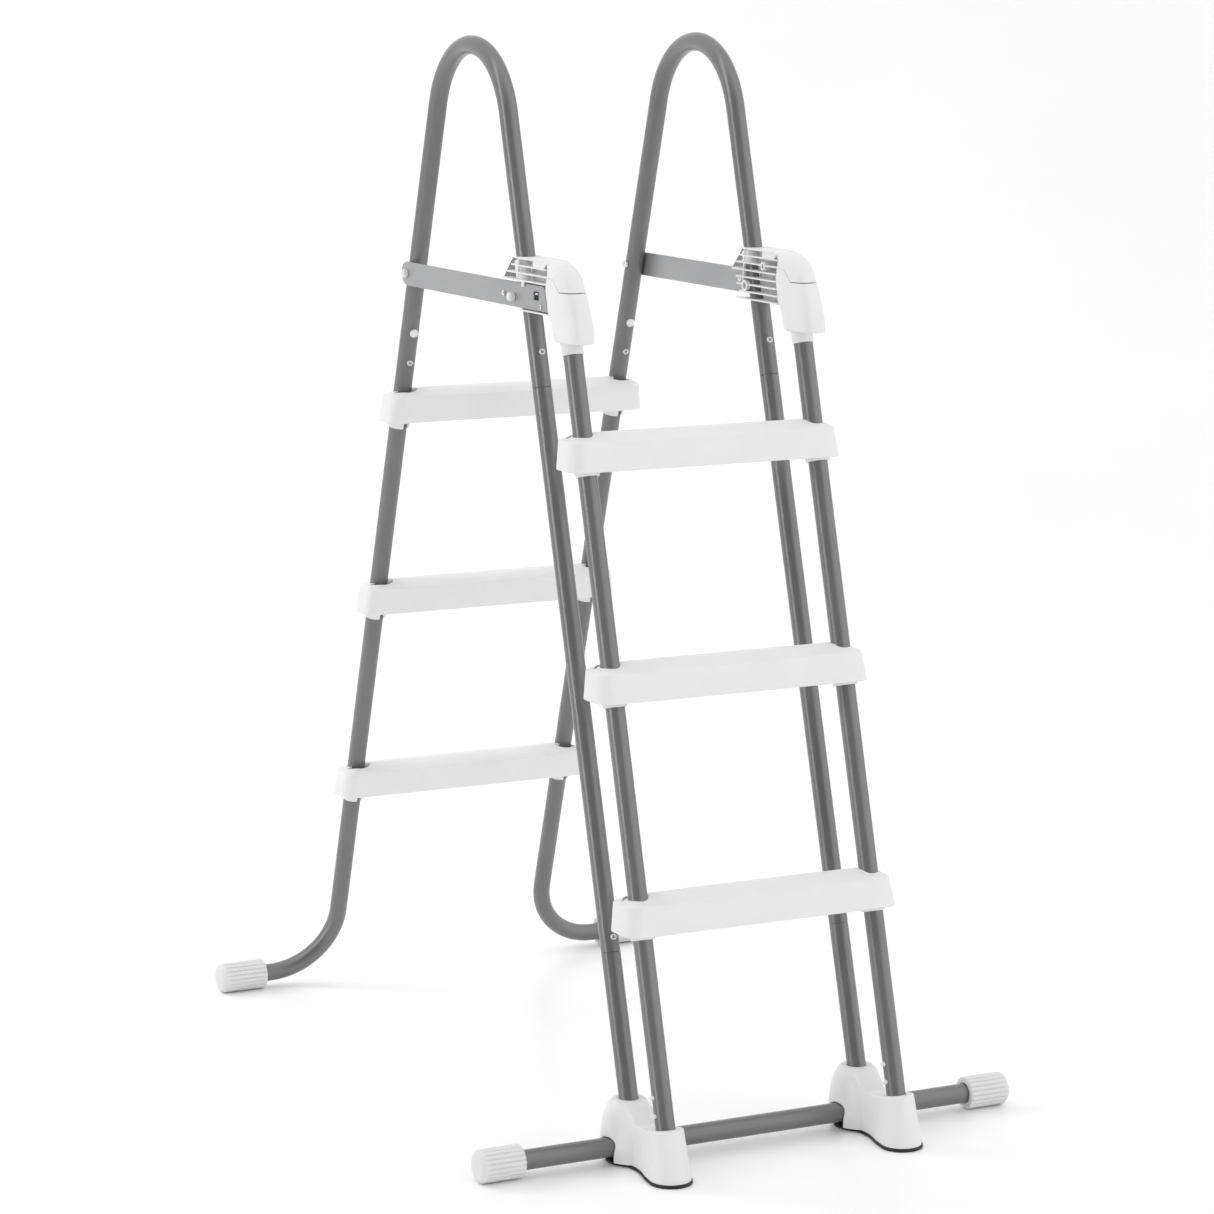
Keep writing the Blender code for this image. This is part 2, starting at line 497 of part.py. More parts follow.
def top_bracket(side, sign):
    x = sign * LEG_X

    def slab(a, b, y0, y1, z0, z1):
        """A block whose X span is counted outwards from the leg plane."""
        x0, x1 = sorted((x + sign * a, x + sign * b))
        return (block(x0, x1, y0, y1, z0, z1), False)

    def barrel(a, b, centre, radius, sides=12):
        """A round bar along X, from a to b outwards of the leg plane, at a (y, z) centre."""
        return rod(Vector((x + sign * a, *centre)), Vector((x + sign * b, *centre)), radius, sides)

    rib_low_z = RIB_TOP_Z - 7 * RIB_PITCH
    low, top = FRONT.at(x, rib_low_z + 0.0034), FRONT.at(x, RIB_TOP_Z - 0.0050)
    obj = build(f"top_bracket_{side}", [(rod(low, top, 0.0168, 20), False)], PLASTIC, FRONT.at(x, BAR_MID_Z))
    plates = []
    for k, back in enumerate(RIB_BACK_YS):
        z = RIB_TOP_Z - k * RIB_PITCH
        front = (RIB_TOP_FRONT_Y, RIB_FRONT_Y)[k] if k < 2 else RIB_LOW_FRONT_Y
        plates.append(slab(-HEAD_HALF, HEAD_HALF, front, back, z - RIB_THICK, z))
    web_front = RIB_LOW_FRONT_Y + 0.0003
    web = slab(-0.0015, 0.0015, web_front, -0.1550, rib_low_z - 0.0010, RIB_TOP_Z - 0.0010)
    bosses = [
        (barrel(-0.0200, -0.0010, BOSS_HIGH_AT, 0.0060), False),
        (barrel(-0.0200, -0.0030, BOSS_LOW_AT, 0.0078), False),
        (barrel(0.0010, 0.0170, SCREW_AT, 0.0050), False),
    ]
    tongue = slab(0.0010, 0.0154, -0.2100, -0.2030, 1.1628, 1.1668)
    tab = slab(0.0168, 0.0187, -0.1722, -0.1652, 1.1732, 1.1812)
    boolean(obj, helper(f"add_ribs_{side}", plates), "UNION")
    boolean(obj, helper(f"add_web_{side}", [web]), "UNION")
    hood = helper(f"add_hood_{side}", [(head(x), False)])
    boolean(hood, helper(f"cut_below_{side}", head_split(x, False, -0.0005)), "DIFFERENCE")
    boolean(obj, hood, "UNION")
    boolean(obj, helper(f"add_bosses_{side}", bosses), "UNION")
    recess = slab(0.0134, 0.0300, BAR_END_Y - 0.0040, -0.09, BAR_Z0 - 0.0006, BAR_Z1 + 0.0006)
    boolean(obj, helper(f"cut_recess_{side}", [recess]), "DIFFERENCE")
    boolean(obj, helper(f"add_tongue_{side}", [tongue, tab]), "UNION")
    ends = low - FRONT.along * 0.02, top + FRONT.along * 0.02
    drill(obj, f"rail_{side}", *ends, TUBE_R + 0.0004, TUBE_SIDES)
    bore = lift_bore(x, TUBE_R + 0.0008, 1.15, 1.1950)
    boolean(obj, helper(f"cut_lift_{side}", [(bore, False)]), "DIFFERENCE")
    holes = [
        (barrel(-0.0300, -0.0110, BOSS_HIGH_AT, 0.0036, 10), False),
        (barrel(-0.0300, -0.0120, BOSS_LOW_AT, 0.0050, 10), False),
        (barrel(0.0060, 0.0300, SCREW_AT, 0.0021, 10), False),
    ]
    boolean(obj, helper(f"cut_bosses_{side}", holes), "DIFFERENCE")


def step_sleeve(side, sign):
    x = sign * LEG_X
    obj = build(f"step_sleeve_{side}", [(head(x), False)], PLASTIC, LIFT.at(x, 1.14))
    boolean(obj, helper(f"cut_above_{side}", head_split(x, True, -0.0005)), "DIFFERENCE")
    boolean(obj, helper(f"cut_sleeve_{side}", [(lift_bore(x, 0.0160, 1.09, 1.21), False)]), "DIFFERENCE")
    start, end = LIFT.at(x, 1.0880), LIFT.at(x, 1.1300)
    bore = TUBE_R + 0.0004
    profile = ((0, 0.0149), (0.019, 0.0156), ((end - start).length, 0.0156))
    out = turned(start, LIFT.along, profile, TUBE_SIDES)
    inside = [ring(p, LIFT.along, bore) for p in (end, start)]
    build(f"guide_collar_{side}", [(out + inside, True)], PLASTIC, start)


# ---------------------------------------------------------------- side bars and fixings
def side_bar(side, sign):
    x = sign * LEG_X
    mid, radius = BAR_MID_Z, (BAR_Z1 - BAR_Z0) / 2
    turn = [radians(a) for a in range(-90, 91, 20)]
    rear = [(BAR_ROUND_Y + radius * cos(a), mid + radius * sin(a)) for a in turn]
    outline = [(BAR_END_Y, BAR_Z0), *rear, (BAR_END_TOP_Y, BAR_Z1)]
    x0, x1 = x + sign * BAR_X0, x + sign * BAR_X1
    bar = build(f"side_bar_{side}", [(prism_x(x0, x1, outline), False)], STEEL, Vector((x0, BAR_BOLT_Y, mid)))
    bolt_at = (BAR_BOLT_Y, mid)
    holes = (("bolt", bolt_at, 0.0034), ("rivet", RIVET_AT, 0.0026), ("knob", KNOB_AT, 0.0023))
    for name, at, r in (*holes, ("screw", SCREW_AT, 0.0022)):
        centre = Vector((x + sign * 0.015, *at))
        drill(bar, f"bar_{name}_{side}", centre - X * 0.02, centre + X * 0.02, r)
    slot = block(x - 0.04, x + 0.04, -0.2160, -0.1990, 1.1570, 1.1690)
    boolean(bar, helper(f"cut_slot_{side}", [(slot, False)]), "DIFFERENCE")

    def fixing(name, at, profile, mat, sides=12):
        origin = Vector((x, *at))
        build(f"{name}_{side}", [(turned(origin, X * sign, profile, sides), False)], mat, origin)

    stem_end, outside = BAR_X1 + 0.0004, BAR_X1 + 0.00041
    inside = BAR_X0 - 0.0004
    bolt = ((-0.0178, 0.0040), (-0.0172, 0.0056), (-0.0140, 0.0056), (-0.01399, 0.0029), (0.0210, 0.0029))
    fixing("bar_bolt", bolt_at, bolt, CHROME)
    nut = ((0.0216, 0.0032), (0.0168, 0.0032), (0.0168, 0.0060), (0.0215, 0.0060), (0.0238, 0.0050))
    fixing("cap_nut", bolt_at, (*nut, (0.0252, 0.0028)), PLASTIC)
    rivet_back = ((0.0105, 0.0022), (0.0110, 0.0038), (inside, 0.0038), (inside + 0.00001, 0.0022))
    rivet_face = ((stem_end, 0.0022), (outside, 0.0042), (0.0180, 0.0041), (0.0189, 0.0026))
    fixing("bar_rivet", RIVET_AT, rivet_back + rivet_face, CHROME)
    knob_back = ((0.0105, 0.0018), (0.0110, 0.0026), (inside, 0.0026), (inside + 0.00001, 0.0019))
    knob_face = ((stem_end, 0.0019), (outside, 0.0056), (0.0245, 0.0060), (0.0262, 0.0046), (0.0268, 0.0020))
    fixing("bar_knob", KNOB_AT, knob_back + knob_face, PLASTIC, 16)
    screw = ((0.0070, 0.0010), (0.0080, 0.0017), (stem_end, 0.0017), (outside, 0.0038))
    fixing("bracket_screw", SCREW_AT, (*screw, (0.0178, 0.0038), (0.0188, 0.0024)), CHROME)


def button(name, leg, x, z):
    """Push pin on a flat leaf that lies inside the spigot."""
    centre, top = leg.at(x, z), TUBE_R + BUTTON_OUT
    profile = ((0.0060, BUTTON_R), (top - 0.0006, BUTTON_R), (top, BUTTON_R - 0.0008))
    dimple = ((top, BUTTON_R - 0.0018), (top - 0.0012, BUTTON_R - 0.0022))
    obj = build(name, [(turned(centre, leg.out, profile + dimple, 12), False)], CHROME, centre)
    leaf = ((-0.0035, 0.0052), (0.0035, 0.0052), (0.0035, 0.0066), (-0.0035, 0.0066))
    strip = [[centre + leg.along * s + X * a + leg.out * b for a, b in leaf] for s in (-0.024, 0.008)]
    boolean(obj, helper(f"add_leaf_{name}", [(strip, False)]), "UNION")


def leg_plug(side, sign):
    origin = REAR.at(sign * LEG_X, REAR_PLUG_Z)
    stem_end, face = TUBE_R + 0.0004, TUBE_R + 0.00041
    profile = ((0.0100, 0.0034), (stem_end, 0.0034), (face, 0.0064))
    profile += ((TUBE_R + 0.0036, 0.0060), (TUBE_R + 0.0052, 0.0034))
    build(f"leg_plug_{side}", [(turned(origin, REAR.out, profile, 16), False)], PLASTIC, origin)


clear_scene()
STEEL = material("painted_steel", (0.16, 0.16, 0.165), 0.35, 0.0)
PLASTIC = material("white_plastic", (0.86, 0.86, 0.86), 0.45)
RUBBER = material("rubber", (0.02, 0.02, 0.02), 0.8)
CHROME = material("bright_steel", (0.72, 0.72, 0.74), 0.25, 1.0)

layout = bpy.data.objects.new("ladder_layout", None)
layout.location = Y * CENTRE_Y
slide = bpy.data.objects.new("removable_steps_slide", None)
slide.parent = layout
slide.location = LIFT.at(0, STEP_TUBE_BOTTOM_Z)
for empty in (layout, slide):
    bpy.context.scene.collection.objects.link(empty)

cross_tube()
for i in range(3):
    step(f"rear_step_{i + 1}", REAR, 1, i)
    step(f"front_step_{i + 1}", LIFT, -1, i, slide)
for side_name, side_sign in SIDES:
    handrail(side_name, side_sign)
    legs(side_name, side_sign)
    shoe(side_name, side_sign)
    end_cap(f"end_cap_front_{side_name}", CROSS_Y, side_sign, FRONT_CAP_IN, FRONT_CAP_OUT, CROSS_R)
    end_cap(f"end_cap_rear_{side_name}", REAR_AXIS_Y, side_sign, REAR_CAP_IN, REAR_CAP_OUT, TUBE_R)
    lift_tube(side_name, side_sign, slide)
    top_bracket(side_name, side_sign)
    step_sleeve(side_name, side_sign)
    side_bar(side_name, side_sign)
    leg_plug(side_name, side_sign)
    button(f"button_front_upper_{side_name}", FRONT, side_sign * LEG_X, FRONT_BUTTON_Z)
    button(f"button_front_lower_{side_name}", FRONT, side_sign * LEG_X, LOW_BUTTON_Z)
    button(f"button_rear_upper_{side_name}", REAR, side_sign * LEG_X, REAR_BUTTON_Z)
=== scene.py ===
import math

import bmesh
import bpy
import numpy as np
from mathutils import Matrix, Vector


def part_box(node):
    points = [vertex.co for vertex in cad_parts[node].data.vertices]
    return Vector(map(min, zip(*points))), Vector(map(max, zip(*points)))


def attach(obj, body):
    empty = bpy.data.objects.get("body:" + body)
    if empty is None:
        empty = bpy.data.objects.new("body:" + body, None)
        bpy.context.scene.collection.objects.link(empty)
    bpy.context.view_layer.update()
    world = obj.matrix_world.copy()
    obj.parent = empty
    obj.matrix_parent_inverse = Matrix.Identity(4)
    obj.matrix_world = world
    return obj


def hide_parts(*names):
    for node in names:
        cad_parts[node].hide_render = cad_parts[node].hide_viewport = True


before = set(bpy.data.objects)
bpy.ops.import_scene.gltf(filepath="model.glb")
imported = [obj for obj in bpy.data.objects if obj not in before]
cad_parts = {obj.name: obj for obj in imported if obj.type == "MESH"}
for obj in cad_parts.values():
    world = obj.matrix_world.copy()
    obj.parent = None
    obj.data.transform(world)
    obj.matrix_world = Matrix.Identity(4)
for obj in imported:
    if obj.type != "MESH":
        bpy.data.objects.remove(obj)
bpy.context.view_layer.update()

# ------------------------------------------------------------------ layout, as in the CAD part
LEG_X = 0.180
STEP_RISE = 0.3048
TUBE_R, BORE_R = 0.0135, 0.0123
SPIGOT_R, SPIGOT_BORE_R, SPIGOT_LENGTH = 0.0119, 0.0107, 0.075
JOINT_GAP = 0.0004
HEIGHT = 1.5125
FRONT_JOINT_Z, FRONT_BUTTON_Z = 1.0330, 1.0800
LOW_JOINT_Z, LOW_BUTTON_Z = 0.2770, 0.2968
REAR_JOINT_Z, REAR_BUTTON_Z = 0.9650, 1.0280
REAR_LOW_JOINT_Z, REAR_PLUG_Z = 0.3450, 1.0740
FLOOR_TUBE_Z, FOOT_BEND_R = 0.0232, 0.105
CROSS_R, CROSS_Y, CROSS_Z = 0.0140, -0.4707, 0.0232
CAP_R = 0.0232
FRONT_CAP_IN, FRONT_CAP_OUT = 0.3505, 0.4165
REAR_CAP_IN, REAR_CAP_OUT = 0.2980, 0.3735
BAR_X0, BAR_X1, BAR_Z0, BAR_Z1 = 0.0138, 0.0163, 1.1426, 1.1776
BAR_BOLT_Y, BAR_MID_Z = 0.2324, 1.1601
BOLT_AT, SCREW_AT = (BAR_BOLT_Y, BAR_MID_Z), (-0.2226, 1.1487)
RIVET_AT, KNOB_AT = (-0.1035, 1.1592), (-0.1365, 1.1565)
BOSS_HIGH_AT, BOSS_LOW_AT, BOSS_SMALL_AT = (-0.2051, 1.1903), (-0.1513, 1.1587), (-0.1360, 1.1680)
STEP_TUBE_BOTTOM_Z, STEP_TUBE_TOP_Z = 0.0300, 1.1420
PEG_ZS = (0.1122, 0.0884)
BUTTON_R, BUTTON_HOLE_R = 0.0043, 0.0047
PEG_HOLE_R, PLUG_HOLE_R, BOLT_HOLE_R = 0.0038, 0.0040, 0.0034
FIT = 0.0004
LEG_BOTTOM_Z = 0.0430
X, Y, Z = Vector((1, 0, 0)), Vector((0, 1, 0)), Vector((0, 0, 1))
SIDES = (("left", -1), ("right", 1))

cross_lo, cross_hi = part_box("base_cross_tube")
OFFSET_Y = (cross_lo.y + cross_hi.y) / 2 - CROSS_Y


class Leg:
    """A straight tube axis in a plane of constant X, leaning in Y as it rises."""

    def __init__(self, foot_y, lean):
        self.foot_y, self.lean = foot_y, lean
        angle = math.atan(lean)
        self.along = Vector((0, math.sin(angle), math.cos(angle)))
        self.out = Vector((0, -self.along.z, self.along.y))

    def at(self, x, z):
        return Vector((x, self.foot_y + self.lean * z, z))


FRONT = Leg(-0.482, 0.2811)
LIFT = Leg(-0.5868, 0.2736)
REAR = Leg(0.600, -0.3169)


# ------------------------------------------------------------------ materials
def colour_ramp(tree, value, stops):
    """Colours by value, from (position, (red, green, blue)) stops."""
    node = tree.nodes.new("ShaderNodeValToRGB")
    elements = node.color_ramp.elements
    while len(elements) < len(stops):
        elements.new(0.5)
    for element, (position, colour) in zip(elements, stops):
        element.position, element.color = position, (*colour, 1)
    tree.links.new(value, node.inputs["Fac"])
    return node.outputs["Color"]


class Look:
    """A material with short ways to wire noise, colours and bumps into its shader."""

    def __init__(self, name, **values):
        self.mat = bpy.data.materials.new(name)
        self.mat.use_nodes = True
        self.tree = self.mat.node_tree
        self.shader = self.tree.nodes["Principled BSDF"]
        self.coords = self.tree.nodes.new("ShaderNodeTexCoord")
        for key, number in values.items():
            self.shader.inputs[key.replace("_", " ")].default_value = number

    def wire(self, key, output):
        self.tree.links.new(output, self.shader.inputs[key])

    def noise(self, scale, detail, rough=0.55, stretch=None):
        tex = self.tree.nodes.new("ShaderNodeTexNoise")
        for key, number in (("Scale", scale), ("Detail", detail), ("Roughness", rough)):
            tex.inputs[key].default_value = number
        source = self.coords.outputs["Object"]
        if stretch:
            mapping = self.tree.nodes.new("ShaderNodeMapping")
            mapping.inputs["Scale"].default_value = stretch
            self.tree.links.new(source, mapping.inputs["Vector"])
            source = mapping.outputs["Vector"]
        self.tree.links.new(source, tex.inputs["Vector"])
        return tex.outputs["Fac"]

    def tones(self, value, dark_at, dark, light_at, light):
        return colour_ramp(self.tree, value, ((dark_at, dark), (light_at, light)))

    def roughness(self, value, low, high):
        node = self.tree.nodes.new("ShaderNodeMapRange")
        for key, number in (("From Min", 0.3), ("From Max", 0.7), ("To Min", low), ("To Max", high)):
            node.inputs[key].default_value = number
        self.tree.links.new(value, node.inputs["Value"])
        self.wire("Roughness", node.outputs["Result"])

    def bump(self, height, strength, distance, normal=None):
        node = self.tree.nodes.new("ShaderNodeBump")
        node.inputs["Strength"].default_value = strength
        node.inputs["Distance"].default_value = distance
        self.tree.links.new(height, node.inputs["Height"])
        if normal is not None:
            self.tree.links.new(normal, node.inputs["Normal"])
        return node.outputs["Normal"]


def painted_steel(name, level):
    """Grey powder coat: fine orange peel, faint mottling, slightly metallic."""
    look = Look(name, Metallic=0.25, Coat_Weight=0.35, Coat_Roughness=0.16)
    low, high = (level * 0.95, level * 0.955, level * 0.975), (level * 1.05, level * 1.055, level * 1.07)
    tone = look.tones(look.noise(9, 3), 0.30, low, 0.70, high)
    fleck = look.tones(look.noise(2600, 1, 0.5), 0.42, (0.90, 0.90, 0.90), 0.60, (1.06, 1.06, 1.07))
    mix = look.tree.nodes.new("ShaderNodeMix")
    mix.data_type, mix.blend_type = "RGBA", "MULTIPLY"
    mix.inputs["Factor"].default_value = 1.0
    look.tree.links.new(tone, mix.inputs[6])
    look.tree.links.new(fleck, mix.inputs[7])
    look.wire("Base Color", mix.outputs[2])
    look.roughness(look.noise(60, 4), 0.30, 0.40)
    look.wire("Normal", look.bump(look.noise(900, 2, 0.5), 0.10, 0.0004))
    return look.mat


def white_plastic(name, grain=0.10, grain_scale=1500, tone=(0.80, 0.805, 0.80)):
    """Moulded white resin: faint cloudiness, spark-eroded grain and a soft sheen."""
    look = Look(
        name, Subsurface_Weight=0.08, Subsurface_Radius=(0.004, 0.004, 0.004), Subsurface_Scale=1.0,
        Specular_IOR_Level=0.36,
    )
    dim = tuple(c * 0.965 for c in tone)
    look.wire("Base Color", look.tones(look.noise(14, 5), 0.32, dim, 0.68, tone))
    look.roughness(look.noise(45, 4), 0.42, 0.56)
    coarse = look.bump(look.noise(70, 3), 0.05, 0.0006)
    look.wire("Normal", look.bump(look.noise(grain_scale, 2, 0.6), grain, 0.0003, coarse))
    return look.mat


def black_rubber(name):
    """Near-black rubber, matt and slightly uneven."""
    look = Look(name)
    dark, light = (0.010, 0.010, 0.011), (0.020, 0.020, 0.021)
    look.wire("Base Color", look.tones(look.noise(40, 4), 0.3, dark, 0.7, light))
    look.roughness(look.noise(120, 3), 0.55, 0.75)
    look.wire("Normal", look.bump(look.noise(900, 3, 0.6), 0.35, 0.0004))
    return look.mat


def plated_steel(name, metallic):
    """Bright plating with fine turning marks."""
    look = Look(name, Metallic=metallic)
    look.wire("Base Color", look.tones(look.noise(120, 4), 0.3, (0.62, 0.62, 0.64), 0.7, (0.78, 0.78, 0.79)))
    look.roughness(look.noise(400, 3, stretch=(1, 8, 8)), 0.18, 0.34)
    look.wire("Normal", look.bump(look.noise(1800, 2, 0.5, stretch=(1, 10, 10)), 0.15, 0.0002))
    return look.mat


STEEL = painted_steel("tube_paint_look", 0.165)
# Lighter copy of the tube paint for the flat bar: painted light, for the light its flat side catches.
LIT_BAR_STEEL = painted_steel("bar_paint_lit_copy_look", 0.34)
PLASTIC = white_plastic("moulded_plastic_look")
TREAD = white_plastic("tread_plastic_look", 0.16, 1100)
CAP_PLASTIC = white_plastic("cap_plastic_look", 0.14, 1300, (0.74, 0.745, 0.74))
RUBBER = black_rubber("rubber_look")
PLATED = plated_steel("plated_steel_look", 1.0)
ZINC = plated_steel("zinc_pin_look", 0.25)


# ------------------------------------------------------------------ mesh helpers
def circle(centre, along, radius, sides=48, aside=X):
    """Points of a circle square to along, as an array. Radius may be one number or one per point."""
    over = np.array(along.cross(aside).normalized())
    a = np.arange(sides) * 2 * math.pi / sides
    r = np.broadcast_to(radius, (sides,))[:, None]
    return np.array(centre) + r * (np.cos(a)[:, None] * np.array(aside) + np.sin(a)[:, None] * over)


def skin(rings, loop=False):
    """(vertices, faces) of quads between successive rings: a loop of rings, or a stack with end faces."""
    rings = np.asarray(rings, float)
    n, m = rings.shape[:2]
    i, j = np.meshgrid(np.arange(n if loop else n - 1), np.arange(m), indexing="ij")
    k, l = (i + 1) % n, (j + 1) % m
    faces = np.stack([i * m + j, i * m + l, k * m + l, k * m + j], -1).reshape(-1, 4).tolist()
    if not loop:
        faces += [list(range(m))[::-1], list(range((n - 1) * m, n * m))]
    return rings.reshape(-1, 3), faces


def make(name, parts, mat, sharp=35):
    """One mesh object from (vertices, faces) parts, facing outwards."""
    verts, faces, base = [], [], 0
    for v, f in parts:
        verts.append(np.asarray(v, float))
        faces += [[base + i for i in face] for face in f]
        base += len(v)
    mesh = bpy.data.meshes.new(name)
    mesh.from_pydata(np.concatenate(verts).tolist(), [], faces)
    bm = bmesh.new()
    bm.from_mesh(mesh)
    bmesh.ops.recalc_face_normals(bm, faces=bm.faces)
    bm.to_mesh(mesh)
    bm.free()
    finish_mesh(mesh, mat, sharp)
    obj = bpy.data.objects.new(name, mesh)
    bpy.context.scene.collection.objects.link(obj)
    return obj


def finish_mesh(mesh, mat, sharp):
    mesh.polygons.foreach_set("use_smooth", [True] * len(mesh.polygons))
    mesh.set_sharp_from_angle(angle=math.radians(sharp))
    mesh.materials.clear()
    mesh.materials.append(mat)


def modify(obj, kind, **settings):
    mod = obj.modifiers.new(kind.lower(), kind)
    for key, value in settings.items():
        setattr(mod, key, value)


def apply_all(obj, sharp=35):
    """Replaces the mesh by what its modifiers make of it."""
    graph = bpy.context.evaluated_depsgraph_get()
    graph.update()
    mesh = bpy.data.meshes.new_from_object(obj.evaluated_get(graph))
    mat = obj.data.materials[0]
    obj.modifiers.clear()
    obj.data = mesh
    finish_mesh(mesh, mat, sharp)


def combine(obj, *steps, sharp=35):
    """Runs ("UNION" or "DIFFERENCE", parts) Booleans one after another and keeps the result."""
    tools = []
    for operation, parts in steps:
        tool = make(f"tool_{obj.name}_{len(tools)}", parts, obj.data.materials[0])
        modify(obj, "BOOLEAN", operation=operation, solver="EXACT", object=tool)
        tools.append(tool)
    apply_all(obj, sharp)
    for tool in tools:
        bpy.data.objects.remove(tool, do_unlink=True)


def place(obj, body, *nodes):
    """Moves a piece from the layout into the row frame, onto its body, in place of its CAD nodes."""
    obj.location.y += OFFSET_Y
    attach(obj, body)
    if nodes:
        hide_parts(*nodes)


def turned(origin, along, profile, sides=48):
    """Skin of a turned solid from (distance along, radius) pairs."""
    aside = X if abs(along.x) < 0.9 else Y
    return skin([circle(origin + along * s, along, r, sides, aside) for s, r in profile])


def half_turned(origin, along, profile, side):
    """Skin of the half of a turned solid that lies towards side * (along x X)."""
    over = np.array(along.cross(X).normalized()) * side
    margin, sides = 0.42, 40
    a = np.linspace(margin, math.pi - margin, sides)
    arc = np.cos(a)[:, None] * np.array(X) + np.sin(a)[:, None] * over
    return skin([np.array(origin + along * s) + r * arc for s, r in profile])


def rod(start, end, radius, sides=32):
    along = (end - start).normalized()
    return turned(start, along, ((0, radius), ((end - start).length, radius)), sides)


def block(x0, x1, y0, y1, z0, z1):
    corners = ((x0, y0), (x1, y0), (x1, y1), (x0, y1))
    return skin([[(x, y, z) for x, y in corners] for z in (z0, z1)])


def prism_x(x0, x1, outline):
    return skin([[(x, y, z) for y, z in outline] for x in (x0, x1)])


def catmull(table, samples):
    """Smooth rows through the rows of a table, by cubic interpolation against its first column."""
    table = np.asarray(table, float)
    t = table[:, 0]
    z = np.linspace(t[0], t[-1], samples) if np.isscalar(samples) else np.asarray(samples)
    slopes = np.gradient(table[:, 1:], t, axis=0)
    i = np.clip(np.searchsorted(t, z, side="right") - 1, 0, len(t) - 2)
    h = (t[i + 1] - t[i])[:, None]
    s = ((z - t[i])[:, None]) / h
    a, b, m, n = table[i, 1:], table[i + 1, 1:], slopes[i] * h, slopes[i + 1] * h
    rows = (2 * s**3 - 3 * s**2 + 1) * a + (s**3 - 2 * s**2 + s) * m
    rows = rows + (-2 * s**3 + 3 * s**2) * b + (s**3 - s**2) * n
    return z, rows


# ------------------------------------------------------------------ tubes
def tube_rings(path, outer=TUBE_R, bore=BORE_R, aside=X, spigot=False):
    """Loop of rings: outside with eased ends, then the bore back again."""
    def ring(station, radius, further=0.0):
        point, along = station
        return circle(point + along * further, along, radius, aside=aside)

    ease, start, end = 0.0004, path[0], path[-1]
    out = [ring(start, outer - ease), ring(start, outer, ease)]
    out += [ring(station, outer) for station in path[1:-1]]
    out += [ring(end, outer, -ease), ring(end, outer - ease)]
    inside = [ring(station, bore) for station in (path[:-1] if spigot else path)]
    if spigot:
        for s, r in ((0, SPIGOT_R), (SPIGOT_LENGTH - 0.003, SPIGOT_R), (SPIGOT_LENGTH, SPIGOT_R - 0.0006)):
            out.append(ring(end, r, s))
        for s, r in ((-0.004, bore), (0, SPIGOT_BORE_R), (SPIGOT_LENGTH, SPIGOT_BORE_R)):
            inside.append(ring(end, r, s))
    return skin(out + inside[::-1], loop=True)


def straight(leg, x, z0, z1, stops=()):
    """Stations up a leg, with a few extra rings round each stop."""
    zs = list(np.arange(z0 + 0.06, z1 - 0.02, 0.06))
    zs += [stop + d for stop in stops for d in (-0.012, -0.006, 0.006, 0.012)]
    inner = sorted(z for z in zs if z0 + 0.001 < z < z1 - 0.001)
    return [(leg.at(x, z), leg.along) for z in (z0, *inner, z1)]


def bend(centre, start_dir, turn_dir, radius, angle, count):
    """Stations round a bend that starts along start_dir and turns towards turn_dir."""
    stations = []
    for i in range(count + 1):
        a = angle * i / count
        point = centre - turn_dir * radius * math.cos(a) + start_dir * radius * math.sin(a)
        stations.append((point, start_dir * math.cos(a) + turn_dir * math.sin(a)))
    return stations


def pierce(point, way, radius):
    """A hole through the wall of the tube round point, on the side towards way."""
    return ("DIFFERENCE", [rod(point + way * 0.004, point + way * 0.020, radius)])


def hole(leg, x, z, radius=BUTTON_HOLE_R):
    return pierce(leg.at(x, z), leg.out, radius)


def handrail(side, sign):
    x = sign * LEG_X
    apex_z = (REAR.foot_y - FRONT.foot_y) / (FRONT.lean - REAR.lean)
    half = (math.atan(FRONT.lean) - math.atan(REAR.lean)) / 2
    down = (-FRONT.along - REAR.along).normalized()
    radius = (apex_z + TUBE_R - HEIGHT) / (-down.z / math.sin(half) - 1)
    centre = FRONT.at(x, apex_z) + down * radius / math.sin(half)
    turn = Vector((0, FRONT.along.z, -FRONT.along.y))
    arc = bend(centre, FRONT.along, turn, radius, math.pi - 2 * half, 48)
    up = straight(FRONT, x, FRONT_JOINT_Z + JOINT_GAP, 1.40, (FRONT_BUTTON_Z,))
    down_leg = straight(REAR, x, REAR_JOINT_Z + JOINT_GAP, 1.40, (REAR_BUTTON_Z, REAR_PLUG_Z, BAR_MID_Z))
    up = [s for s in up if s[0].z < arc[0][0].z - 0.005]
    down_leg = [(p, -t) for p, t in reversed(down_leg) if p.z < arc[-1][0].z - 0.005]
    obj = make(f"rail_{side}", [tube_rings(up + arc + down_leg)], STEEL)
    bolt = Vector((x, BAR_BOLT_Y, BAR_MID_Z))
    combine(
        obj, hole(FRONT, x, FRONT_BUTTON_Z), hole(REAR, x, REAR_BUTTON_Z),
        hole(REAR, x, REAR_PLUG_Z, PLUG_HOLE_R),
        ("DIFFERENCE", [rod(bolt - X * 0.02, bolt + X * 0.02, BOLT_HOLE_R)]),
    )
    place(obj, "frame", f"handrail_{side}")


